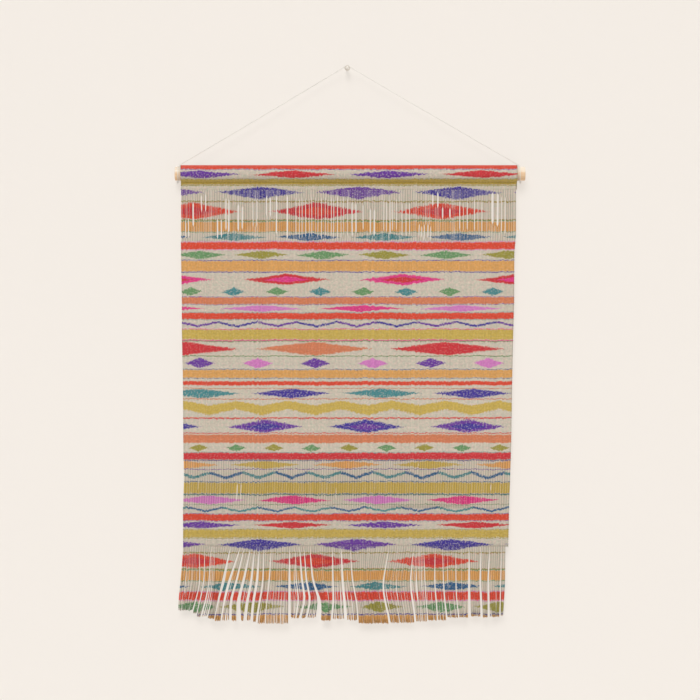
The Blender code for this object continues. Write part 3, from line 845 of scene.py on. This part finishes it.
def yarn_material(name, chart, painted_light_shift=0.0):
    """A loose warp yarn: the print goes on where `printed` is high and its plies are twisted ridges.
    Painted
    shade: the grooves between the plies, and every other yarn, which lies behind, are painted darker. The
    last argument is added to the tone, as painted light and shade."""
    yarn = Finish(name, 0.93, 0.15)
    place = yarn.chart("Cloth")
    printed = yarn.value("ShaderNodeAttribute", output="Fac", attribute_name="printed")
    show = yarn.span(printed, 0.15, 0.6, 0.3, 1.0)
    inks = yarn.value("ShaderNodeGroup", {"Place": place, "Show": show}, node_tree=chart)
    around, length, _ = yarn.split(yarn.chart("Ply"))
    ridge = abs(yarn.calc("SINE", (around * 2.0 + length) * TURN))
    number = yarn.calc("FLOOR", yarn.split(place)[0] / WARP_PITCH)
    # Each yarn's own tone at random, less a painted shade on every other yarn, the one behind.
    own = swing(yarn.scatter(number), 0.08) - yarn.odd(number) * 0.26
    # Painted shade: the ply grooves are painted darker than their ridges.
    yarn.paint(inks, yarn.span(ridge, 0.0, 0.7, 1.01 + painted_light_shift, 1.15 + painted_light_shift) + own)
    yarn.relief(ridge, 0.6, 0.15 * MM)
    return yarn.material


def wood_material(name, pale, dark, scale, painted_shade):
    """Sanded wood: long streaks of two tones along the grain, where `scale` is small, and painted shade:
    a darker tone where the last argument, a function of the finish and the place, is near 1."""
    wood = Finish(name, 0.52)
    place = wood.object_place()
    drawn = wood.value("ShaderNodeVectorMath", {0: place, 1: scale}, operation="MULTIPLY")
    streaks = wood.noise(drawn, 1.0, 4.0)
    # Two mixes of the streaks: the lit wood's tone, and the darker tone of its painted shade.
    outside, inside = (
        wood.mix(wood.span(streaks, 0.35, 0.68, least, most), linear(pale), linear(dark))
        for least, most in ((0.0, 0.35), (0.6, 1.0))
    )
    # Painted shade: the darker mix is painted where the shade function is near 1.
    wood.paint(wood.mix(painted_shade(wood, place), outside, inside))
    wood.relief(streaks, 0.25, 0.12 * MM)
    return wood.material


def cord_material(name, dark, pale):
    """Cotton plies: fine twisted fibres along the Ply map."""
    cord = Finish(name, 0.85, 0.2)
    around, length, _ = cord.split(cord.chart("Ply"))
    fibres = cord.noise(cord.join((around + length) * 9.0, length), 1.0, 3.0)
    cord.paint(cord.mix(cord.span(fibres, 0.3, 0.7), linear(dark), linear(pale)))
    cord.relief(fibres, 0.5, 0.06 * MM)
    return cord.material


# The cloth

SECTION = sleeve_section()
SECTION_RUN = distances(SECTION)
SLEEVE_END = DOWEL_Z - SECTION[-1, 1]  # `down` where the panel starts to fall
ALONG_LESS_DOWN = SECTION_RUN[-1] - SLEEVE_END
FOOT_START = CLOSE_END + ALONG_LESS_DOWN  # as `along`


def panel_points(share, down):
    """Points of the hanging panel: share 0 to 1 from its left edge to its right, and `down`. Its plane is
    moved by stand_out and by a fine unevenness, the product of two slanting sines."""
    left, right = side_edges(down)
    x = left + (right - left) * share
    first = np.sin(x / UNEVEN_WIDTH + UNEVEN_SLANTS[0] * down)
    second = np.sin(down / UNEVEN_DROP - UNEVEN_SLANTS[1] * x)
    uneven = UNEVEN * first * second * eased(down, BAND_TOP, UNEVEN_FULL)
    y = PANEL_Y + stand_out(x, down) + uneven
    return np.stack((x, y, np.broadcast_to(DOWEL_Z - down, x.shape)), axis=-1)


def flat_place(share, along):
    """(x, along) on the flat cloth."""
    return np.stack(np.broadcast_arrays(share * CLOTH_WIDTH, along), axis=-1)


def cloth_sheet(materials):
    """The hem, sleeve and heading in one sheet, and the woven cloth on both sides of the close band in two
    more: grids over the share of the width and the distance along the cloth, then given thickness."""
    share = np.linspace(0.0, 1.0, SHEET_COLUMNS + 1)
    left, right = side_edges(0.0)
    x = np.broadcast_to(left + (right - left) * share, (len(SECTION), len(share)))
    y, z = (np.broadcast_to(SECTION[:, axis, None], x.shape) for axis in range(2))
    heading_down = np.linspace(SLEEVE_END, BAND_TOP, HEADING_ROWS + 1)[1:]
    heading = panel_points(share, heading_down[:, None])
    upper = np.concatenate((np.stack((x, y, z), axis=-1), heading))
    grids = [(upper, np.concatenate((SECTION_RUN, heading_down + ALONG_LESS_DOWN)))]
    for top, end, rows in ((BAND_END, CLOSE_TOP, BODY_ROWS), (CLOSE_END, ROOT, FOOT_ROWS)):
        down = np.linspace(top, end, rows)
        grids.append((panel_points(share, down[:, None]), down + ALONG_LESS_DOWN))
    faces, places, start = [], [], 0
    for grid, along in grids:
        cells = grid_faces(len(along), len(share))[:, ::-1]
        places.append(flat_place(share, along[:, None]).reshape(-1, 2)[cells])
        faces.append(cells + start)
        start += len(along) * len(share)
    points = np.concatenate([grid.reshape(-1, 3) for grid, _ in grids])
    made = add_piece("woven_cloth", points, faces, {"Cloth": places}, materials=materials)
    solid = made.modifiers.new("Thickness", "SOLIDIFY")
    solid.thickness = CLOTH
    solid.offset = 0.0
    solid.material_offset = 1
    solid.material_offset_rim = 1
    return made


def shed(number):
    """The side of the middle that a warp yarn lies on: every other one is behind."""
    return SHED * (2 * (number % 2) - 1)


def slit_rows(slits, draw):
    """One row a slit: x, upper and lower end, and width, in metres, each end and width a little uneven.
    The yarns' roundness shows a slit wider than it is, and a narrow one the most."""
    rows = []
    for first, count, step, upper, lower, width in slits:
        for place in range(count):
            high = upper + draw.uniform(-1, 2)
            low = lower - draw.uniform(-1, 4)
            parted = (1.25 * width - 0.65) * draw.uniform(0.75, 1.15)
            rows.append((first + place * step, high, low, parted))
    return np.array(rows) * MM


def open_yarns(name, top, end, slits, shares, draw, material):
    """The bare warp yarns between two woven parts. A slit pushes the yarns on its two sides apart, by half
    its width next to it and less for each yarn further away, between its two ends. A yarn's rings stand
    where the nearest slit opens and closes, at shares of the way between those places."""
    number = np.arange(WARP_YARNS)
    share = (number + 0.5) / WARP_YARNS
    left, right = side_edges(top)
    at, high, low, wide = slit_rows(slits, draw).T[:, :, None]
    middle = np.round((at - left) / (right - left) * WARP_YARNS)
    away = number - middle + 0.5
    push = np.sign(away) * PUSH_FADE ** (np.abs(away) - 0.5) * wide / 2
    nearest = np.abs(away).argmin(axis=0)
    upper = np.maximum(high[nearest], top + SLIT_MARGIN)
    lower = np.minimum(low[nearest], end - SLIT_MARGIN)
    taper = np.minimum(SLIT_TAPER, 0.4 * (lower - upper))
    held_above = np.full_like(upper, top - YARN_HELD)
    held_below = np.full_like(lower, end + YARN_HELD)
    stops = np.hstack((held_above, upper, upper + taper, lower - taper, lower, held_below))
    down = np.stack([np.interp(BAND_STOPS, np.arange(6), row) for row in stops])
    x, y, z = np.moveaxis(panel_points(share[:, None], down), -1, 0)
    for one_push, one_high, one_low in zip(push, high, low):
        opening = eased(down, one_high, one_high + SLIT_TAPER)
        closing = eased(down, one_low - SLIT_TAPER, one_low)
        x = x + one_push[:, None] * opening * (1 - closing)
    free = eased(down, top, top + YARN_FREE) * (1 - eased(down, end - YARN_FREE, end))
    phase = draw.uniform(0, TURN, (WARP_YARNS, 2))
    drift = draw.normal(0, 0.3 * (1 - shares[0]) * MM, WARP_YARNS)
    sideways, inward = np.sin(down / YARN_WAVE + phase.T[:, :, None])
    x = x + free * (drift[:, None] + YARN_REACH_X * sideways)
    y = y + free * (YARN_REACH_Y * inward + shed(number)[:, None])
    lines = np.stack((x, y, z), axis=-1)
    thick = YARN_RADIUS * draw.choice(shares, WARP_YARNS)[:, None]
    flat = flat_place(share[:, None], down + ALONG_LESS_DOWN)
    return tubes(name, lines, thick, YARN_SIDES, material, flat, SEEN_PRINT)


def gap_lines(depth):
    """x of the clumps' boundaries at each depth below the root, and the width of each gap there."""
    table = np.array(CLUMPS)
    places = np.vstack((FRINGE_LEFT_EDGE, table[:, 1:5])) * MM
    widths = np.vstack((np.zeros(2), table[:, 5:7])) * MM
    levels = np.array(FRINGE_LEVELS) * MM
    spread = np.linspace(-GAP_ROUNDING, GAP_ROUNDING, 5)
    x = np.stack([np.interp(depth + spread[:, None], levels, row).mean(axis=0) for row in places])
    first = np.clip(depth / levels[1], 0.0, 1.0) ** 0.7
    second = eased(depth, levels[1], levels[3])
    width = widths[:, :1] * first + (widths[:, 1:] - widths[:, :1]) * second
    return x, width


def fringe_yarns(draw, material):
    """The loose warp ends and the frayed plies at their tips. Each yarn keeps its place in its clump, so x
    is the clump's left side at that depth + its share of the clump's width there, and yarns that a narrow
    clump squeezes together move before and behind each other."""
    yarn = np.arange(WARP_YARNS)
    share = (yarn + 0.5) / WARP_YARNS
    roots = gap_lines(np.zeros(1))[0][:, 0]
    held = roots[0] + (roots[-1] - roots[0]) * share
    clump = np.clip(np.searchsorted(roots, held) - 1, 0, len(CLUMPS) - 1)
    members = np.bincount(clump, minlength=len(CLUMPS))
    place = yarn - (np.cumsum(members) - members)[clump]
    inner = np.where(members[clump] > 1, place / np.maximum(members[clump] - 1, 1), 0.5)
    length = (np.array(CLUMPS)[clump, 0] - draw.uniform(*SHORTER_YARN, WARP_YARNS)) * MM
    step = np.linspace(0.0, 1.0, FRINGE_RINGS) ** 1.2
    depth = length[:, None] * step - FRINGE_HELD * (1 - step)
    lines_x, widths = gap_lines(depth.ravel())
    lines_x = lines_x.reshape(-1, *depth.shape)
    widths = widths.reshape(-1, *depth.shape)
    low = lines_x[clump, yarn] + widths[clump, yarn] / 2 + YARN_RADIUS
    high = lines_x[clump + 1, yarn] - widths[clump + 1, yarn] / 2 - YARN_RADIUS
    x = low + (high - low) * inner[:, None]
    x = x + (held[:, None] - x) * (1 - eased(depth, 0.0, FRINGE_SPREAD))
    wander = eased(depth, WANDER_START, WANDER_FULL)
    outer = (place == 0) | (place == members[clump] - 1)
    phase = draw.uniform(0, TURN, (WARP_YARNS, 3))
    reach = np.where(outer, OUTER_REACH_X, draw.gamma(*LOOSE_REACH_X, WARP_YARNS))[:, None] * MM
    x = x + wander * reach * np.sin(depth / LOOSE_WAVES[0] + phase[:, :1])
    squeeze = np.clip(1 - (high - low) / (roots[clump + 1] - roots[clump])[:, None], 0.0, 0.7)
    deep = draw.uniform(-1, 1, WARP_YARNS)[:, None] * (LOOSE_DEEP[0] + LOOSE_DEEP[1] * squeeze) * MM
    deep = deep + shed(yarn)[:, None]
    lean = CLUMP_LEAN * np.sin(2.4 * clump)[:, None] * step**1.5
    down = ROOT + depth
    y = PANEL_Y + stand_out(x, down) + lean
    y = y + wander * (deep + LOOSE_REACH_Y * np.sin(depth / LOOSE_WAVES[1] + phase[:, 1:2]))
    lines = np.stack((x, y, DOWEL_Z - down), axis=-1)
    thick = YARN_RADIUS * draw.choice(LOOSE_SHARES, WARP_YARNS)[:, None]
    radii = thick * (1 + 0.12 * wander) * (1 - 0.2 * eased(step, 0.97, 1.0))
    flat = flat_place(share[:, None], down + ALONG_LESS_DOWN)
    turned = draw.normal(0, PRINT_TURN, WARP_YARNS)[:, None] * eased(depth, 10 * MM, 80 * MM)
    ink = SEEN_PRINT * np.cos(turned + 0.5 * wander * np.sin(depth / LOOSE_WAVES[2] + phase[:, 2:]))
    yarns = tubes("fringe_yarns", lines, radii, YARN_SIDES, material, flat, ink)
    return yarns, frayed_tips(lines, flat, draw, material)


def frayed_tips(lines, flat, draw, material):
    """Each loose yarn's plies, parted at its tip: from inside the yarn, ply n leaves the yarn's line by a
    distance that grows with the square of the way down, each in a direction of its own."""
    step = np.linspace(0.0, 1.0, FRAYED_RINGS)[None, :, None]
    strands = len(lines) * FRAYED_PLIES
    heading = np.repeat(unit(lines[:, -1] - lines[:, -2]), FRAYED_PLIES, axis=0)[:, None]
    start = np.repeat(lines[:, -1], FRAYED_PLIES, axis=0)[:, None] - FRAYED_START * heading
    long = draw.uniform(*FRAYED_LENGTH, (strands, 1, 1)) * MM
    aside = draw.uniform(-FRAYED_ASIDE, FRAYED_ASIDE, strands)
    angle = TURN * np.arange(strands) / FRAYED_PLIES + aside
    out = np.column_stack((np.cos(angle), np.sin(angle), np.zeros(strands)))[:, None]
    spread = draw.uniform(*FRAYED_SPREAD, (strands, 1, 1)) * MM
    plies = start + heading * long * step + out * (FRAYED_OUT + spread * step**2)
    thin = FRAYED_RADIUS * (1 - 0.6 * step[..., 0] ** 3)
    places = np.repeat(flat[:, -1:], FRAYED_PLIES, axis=0)
    ink = draw.uniform(*FRAYED_INK, (strands, 1))
    return tubes("frayed_tips", plies, thin, FRAYED_SIDES, material, places, ink)


def selvedges(material):
    """The weft's turns down both side edges: a helix round the outermost warp yarn, one turn for two
    picks, on the heading and on the woven cloth above and below the close band."""
    made = []
    for share in (0.0, 1.0):
        outward = 2 * share - 1
        for low, high in ((SLEEVE_END, BAND_TOP), (BAND_END, CLOSE_TOP), (CLOSE_END, ROOT)):
            turns = int((high - low) / (2 * WEFT_PITCH))
            down = np.linspace(low, high, turns * WEFT_TURN_STEPS + 1)
            edge = panel_points(np.array(share), down)
            angle = TURN * np.arange(len(down)) / WEFT_TURN_STEPS
            edge[:, 0] += outward * (WEFT_TURN_X * np.cos(angle) - WEFT_TURN_INWARD)
            edge[:, 1] -= WEFT_TURN_Y * np.sin(angle)
            flat = flat_place(share, down + ALONG_LESS_DOWN)
            name = f"selvedge_{len(made) + 1}"
            made.append(tubes(name, edge[None], WEFT_TURN_RADIUS, YARN_SIDES, material, flat, SEEN_PRINT))
    return made


def edge_picks(material):
    """The outermost picks of weft at the edges where the weaving stops: a sine over and under the warp,
    half a wave a yarn, each pick the other way up from its neighbour."""
    share = np.linspace(-PICK_PAST, 1 + PICK_PAST, WARP_YARNS * 4 + 1)
    lines, flats = [], []
    for start, step in ((BAND_TOP, -1), (BAND_END, 1), (CLOSE_TOP, -1), (CLOSE_END, 1), (ROOT, -1)):
        for pick in range(2):
            down = np.full(len(share), start + step * (PICK_INSIDE + pick) * WEFT_PITCH)
            line = panel_points(share, down + PICK_UNEVEN * np.sin(share * PICK_WAVES + pick))
            line[:, 1] -= PICK_REACH * np.sin(math.pi * (share * WARP_YARNS + pick))
            lines.append(line)
            flats.append(flat_place(share, down + ALONG_LESS_DOWN))
    picks = np.stack(lines)
    flat = np.stack(flats)
    upward = (0.0, 0.0, 1.0)
    return tubes("edge_picks", picks, PICK_RADIUS, PICK_SIDES, material, flat, SEEN_PRINT, upward)


def seam_stitches(material):
    """The seam that closes the sleeve: stitches on the front and on the hem's back, each a shallow arc,
    STITCH_ARC · sin πs, that starts and ends in the cloth."""
    left, right = side_edges(SEAM)
    first = np.arange(left + SEAM_STARTS, right - SEAM_ENDS, STITCH_PITCH)
    step = np.linspace(0.0, 1.0, STITCH_RINGS)
    x = np.concatenate((first, first + STITCH_PITCH / 2))[:, None] + STITCH_LENGTH * step
    down = SEAM + SEAM_WAVER * np.sin(x / SEAM_WAVE)
    lines = panel_points((x - left) / (right - left), down)
    arc = CLOTH / 2 - STITCH_SINK + STITCH_ARC * np.sin(math.pi * step)
    lines[: len(first), :, 1] -= arc
    lines[len(first) :, :, 1] = DOWEL_Y + LAYER_STEP / 2 + arc
    return tubes("seam", lines, STITCH_RADIUS, YARN_SIDES, material, reference=(0.0, 0.0, 1.0))


# The cord


def twisted(name, line, radius, reference, material):
    """Plies laid round a line: ply n is offset by PLY_OFFSET · radius at an angle that turns once in
    CORD_LAY."""
    side, front = square_to(line, reference)
    turns = distances(line) / CORD_LAY + np.arange(CORD_PLIES)[:, None] / CORD_PLIES
    angle = TURN * turns[..., None]
    plies = line + PLY_OFFSET * radius * (np.cos(angle) * side + np.sin(angle) * front)
    return tubes(name, plies, PLY_THICK * radius, CORD_SIDES, material, reference=reference)


def loop_line(start_x, outward):
    """A turn and a half round the dowel from its top over the front, moving outward by LOOP_PITCH a turn,
    then the tail below."""
    share = np.linspace(0.0, LOOP_TURNS, 61)
    angle = math.pi / 2 + TURN * share
    x = start_x + outward * LOOP_PITCH * share
    y = DOWEL_Y + LOOP_RADIUS * np.cos(angle)
    turns = np.column_stack((x, y, DOWEL_Z + LOOP_RADIUS * np.sin(angle)))
    tail = turns[-1] + np.array(TAIL) * MM * (outward, 1.0, 1.0)
    return respaced(smooth_curve(np.vstack((turns[::3], tail)), 6), LOOP_STEP)


def knot(name, centre, size, material):
    """A small overhand knot: the trefoil (sin t + 2 sin 2t, -sin 3t, cos t - 2 cos 2t)."""
    t = np.linspace(0.0, TURN, 49)
    across = np.sin(t) + 2 * np.sin(2 * t)
    up = np.cos(t) - 2 * np.cos(2 * t)
    line = np.array(centre) + size * np.column_stack((across, -np.sin(3 * t), up))
    return tubes(name, line[None], KNOT_STRAND, CORD_SIDES, material, reference=(0.31, 0.2, 0.93))


# Build


def dress(piece, node):
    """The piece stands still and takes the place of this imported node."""
    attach(piece, "root")
    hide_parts(node)


def build_textiles():
    chart, weave = print_group(), weave_group()
    face = cloth_material("Printed cloth", chart, weave, 1.0)
    back = cloth_material("Cloth back", chart, weave, 0.34)
    loose = yarn_material("Printed yarn", chart)
    # The fringe's yarns are painted darker, as shade.
    ends = yarn_material("Printed fringe yarn", chart, -0.07)
    thread = cord_material("Sand thread", (188, 176, 156), (206, 196, 176))
    draw = np.random.default_rng(YARN_SEED)
    cloth = cloth_sheet([face, back])
    band = open_yarns("band_yarns", BAND_TOP, BAND_END, SLITS, LOOSE_SHARES, draw, loose)
    close = open_yarns("close_yarns", CLOSE_TOP, CLOSE_END, CLOSE_SLITS, CLOSE_SHARES, draw, loose)
    loose_ends = fringe_yarns(draw, ends)
    on_cloth = [band, close, *selvedges(loose), edge_picks(loose), seam_stitches(thread)]
    for piece in (cloth, *on_cloth):
        dress(piece, "woven_panel")
    for piece in loose_ends:
        dress(piece, "fringe")


def build_cord():
    material = cord_material("Cotton cord", (226, 221, 211), (240, 236, 228))
    line = respaced(smooth_curve(CORD_ROUTE, ROUTE_STEPS) * MM, CORD_STEP)
    cord = twisted("cord_run", line, CORD_RADIUS, (0.0, 1.0, 0.0), material)
    dress(cord, "hanger_cord")
    ends = []
    for side, start_x, outward, route_end in (
        ("left", LOOP_LEFT, -1.0, CORD_ROUTE[0]),
        ("right", LOOP_RIGHT, 1.0, CORD_ROUTE[-1]),
    ):
        wound = loop_line(start_x, outward)
        above = np.array(route_end) * MM - (0.0, 0.0, KNOT_DROP)
        pieces = [
            twisted(f"cord_turns_{side}", wound, CORD_RADIUS, (1.0, 0.02, 0.03), material),
            knot(f"knot_above_{side}", above, KNOT_ABOVE, material),
            knot(f"knot_below_{side}", wound[KNOT_POINT], KNOT_BELOW, material),
        ]
        for piece in pieces:
            dress(piece, f"cord_loop_{side}")
        ends += pieces


def build_dowel():
    """The rod: a straight profile with eased edges, and flat sanded ends."""
    length = DOWEL_HIGH.x - DOWEL_LOW.x
    edge = [
        (DOWEL_EDGE * (1 - math.cos(angle)), DOWEL_RADIUS - DOWEL_EDGE * (1 - math.sin(angle)))
        for angle in np.radians(np.linspace(0, 90, 6))
    ]
    middle = [(x, DOWEL_RADIUS) for x in np.linspace(DOWEL_EDGE, length - DOWEL_EDGE, 30)[1:-1]]
    far = [(length - x, radius) for x, radius in reversed(edge)]

    def painted_shade(wood, place):
        """Painted shade: the rod's lower side is painted darker, as the shade under the light from above.
        """
        height = wood.split(place)[2] + swing(wood.noise(place, 30.0), 6 * MM)
        return wood.span(height, DOWEL_Z + 2.5 * MM, DOWEL_Z - 1.5 * MM)

    grain = (14.0, 900.0, 900.0)
    # The second colour is the painted shade of the rod's lower side.
    wood = wood_material("Pale dowel wood", (243, 231, 213), (232, 186, 134), grain, painted_shade)
    start = (DOWEL_LOW.x, DOWEL_Y, DOWEL_Z)
    dowel = turned_piece("dowel_rod", edge + middle + far, 72, start, (1.0, 0.0, 0.0), wood)
    dress(dowel, "dowel")


def build_peg():
    """The peg: a stem, then a round head with a shallow groove inside its rim and a low dome."""
    head = PEG_REACH - PEG_NECK

    def arc(start, end, at, deep, out, wide):
        """Rings from one angle to another, in shares of the head's depth and radius."""
        angle = np.radians(np.linspace(start, end, 10))
        distance = PEG_NECK + head * (at + deep * np.sin(angle))
        return list(zip(distance, PEG_RADIUS * (out + wide * np.cos(angle))))

    stem = [(0.0, PEG_STEM), (PEG_NECK - 0.4 * MM, PEG_STEM), (PEG_NECK, PEG_STEM * 1.15)]
    groove = [(PEG_NECK + 0.62 * head, PEG_RADIUS * share) for share in (0.72, 0.66)]
    profile = stem + arc(-80, 110, 0.42, 0.3, 0.86, 0.14) + groove + arc(4, 86, 0.66, 0.34, 0.0, 0.64)

    def painted_shade(wood, place):
        """Painted shade: the rim is painted darker than the dome, as the shade where the head turns away
        from the light.
        """
        x, _, z = wood.split(place)
        across = {0: wood.join(x, z)}
        out = wood.value("ShaderNodeVectorMath", across, "Value", operation="LENGTH")
        return wood.span(out, PEG_RADIUS * 0.5, PEG_RADIUS * 0.75)

    grain = (1400.0, 60.0, 1400.0)
    # The second colour is the painted shade of the rim.
    wood = wood_material("Pale peg wood", (238, 232, 222), (212, 203, 190), grain, painted_shade)
    peg = turned_piece("peg_turned", profile, 48, (0.0, 0.0, 0.0), (0.0, -1.0, 0.0), wood)
    dress(peg, "wall_peg")


# The room

WALL_COLOUR = (243, 236, 228)
WALL_GLOW = 0.7
WALL_Y = 0.4 * MM
WALL_REACH = 6.0
WALL_TOP = 4.0
ROOM_COLOUR = (238, 234, 229)
ROOM_RADIUS = 7.5
ROOM_HEIGHT = 6.0
FLOOR_COLOUR = (228, 225, 221)
FLOOR_Z = -1.6
# A soft sun from above and in front, and a weak one for the back: name, strength, and in degrees its
# width in the sky and its turns about the three axes.
SUNS = (
    ("key", 2.0, 26.0, (48.0, 0.0, -8.0)),
    ("back", 1.3, 60.0, (55.0, 0.0, 165.0)),
)
SKY_STRENGTH = 0.4


def plain_finish(name, display, glow=0.0):
    """A plain surface. `glow` is the share of its brightness that no shadow takes away."""
    plain = Finish(name, 0.95)
    grain = plain.noise(plain.object_place(), 3.0, 3.0)
    full = np.array(linear(display))
    lit = (1 - glow) * full[:3]
    plain.paint(plain.mix(plain.span(grain, 0.3, 0.7), (*lit, 1.0), (*(0.985 * lit), 1.0)))
    plain.shader.inputs["Emission Color"].default_value = full
    plain.shader.inputs["Emission Strength"].default_value = glow
    return plain


def unlit_stage(made):
    """A part of the room that neither shades nor colours the object."""
    for kind in ("diffuse", "glossy", "shadow", "transmission"):
        setattr(made, f"visible_{kind}", False)


def four_corners(name, points, material):
    """A flat face between four points."""
    return add_piece(name, np.array(points), [np.array([[0, 1, 2, 3]])], materials=[material])


def build_wall():
    """A plain wall behind the object. It is clear from behind, so that the back can be seen."""
    edges = ((-1, FLOOR_Z), (1, FLOOR_Z), (1, WALL_TOP), (-1, WALL_TOP))
    plain = plain_finish("Pale wall", WALL_COLOUR, WALL_GLOW)
    behind = plain.value("ShaderNodeNewGeometry", output="Backfacing")
    clear = plain.value("ShaderNodeBsdfTransparent")
    shaded = plain.outputs(plain.shader)[0]
    choice = plain.value("ShaderNodeMixShader", {0: behind, 1: shaded, 2: clear})
    plain.feed(choice, plain.tree.nodes["Material Output"].inputs["Surface"])
    points = [(side * WALL_REACH, WALL_Y, height) for side, height in edges]
    unlit_stage(four_corners("wall", points, plain.material))


def build_backdrop():
    """A round room, seen only past the wall's ends and from behind: a vertical cylinder, closed above."""
    material = plain_finish("Pale room", ROOM_COLOUR, 1.0).material
    profile = ((0.0, ROOM_RADIUS), (ROOM_HEIGHT, ROOM_RADIUS), (ROOM_HEIGHT * 1.3, ROOM_RADIUS / 2))
    start = (0.0, 0.0, FLOOR_Z)
    unlit_stage(turned_piece("room", profile, 64, start, (0.0, 0.0, 1.0), material))


def build_floor():
    edges = ((-1, -1), (1, -1), (1, 1), (-1, 1))
    points = [(x * ROOM_RADIUS, y * ROOM_RADIUS, FLOOR_Z) for x, y in edges]
    four_corners("floor", points, plain_finish("Pale floor", FLOOR_COLOUR).material)


def build_light():
    """The suns and an even pale sky."""
    for name, strength, width, turns in SUNS:
        lamp = bpy.data.lights.new(name, "SUN")
        lamp.energy = strength
        lamp.angle = math.radians(width)
        held = bpy.data.objects.new(name, lamp)
        held.rotation_euler = [math.radians(turn) for turn in turns]
        bpy.context.scene.collection.objects.link(held)
    world = bpy.data.worlds.new("sky")
    world.use_nodes = True
    sky = world.node_tree.nodes["Background"]
    sky.inputs["Color"].default_value = (1.0, 1.0, 1.0, 1.0)
    sky.inputs["Strength"].default_value = SKY_STRENGTH
    bpy.context.scene.world = world
    bpy.context.scene.view_settings.view_transform = "Standard"


def build_camera():
    """Head-on, as far away as makes the panel PANEL_PIXELS wide in a picture PHOTO_PIXELS wide."""
    pixel = CLOTH_WIDTH / PANEL_PIXELS
    view = bpy.data.cameras.new("camera")
    view.lens = LENS
    view.sensor_width = SENSOR
    view.clip_end = 30.0
    camera = bpy.data.objects.new("camera", view)
    across = (PHOTO_PIXELS / 2 - PEG_PIXEL[0]) * pixel
    up = (PEG_PIXEL[1] - PHOTO_PIXELS / 2) * pixel
    camera.location = (across, PANEL_Y - pixel * PHOTO_PIXELS * LENS / SENSOR, up)
    camera.rotation_euler = (math.pi / 2, 0.0, 0.0)
    bpy.context.scene.collection.objects.link(camera)
    bpy.context.scene.camera = camera


build_camera()
build_cord()
build_textiles()
build_dowel()
build_peg()
build_wall()
build_floor()
build_backdrop()
build_light()
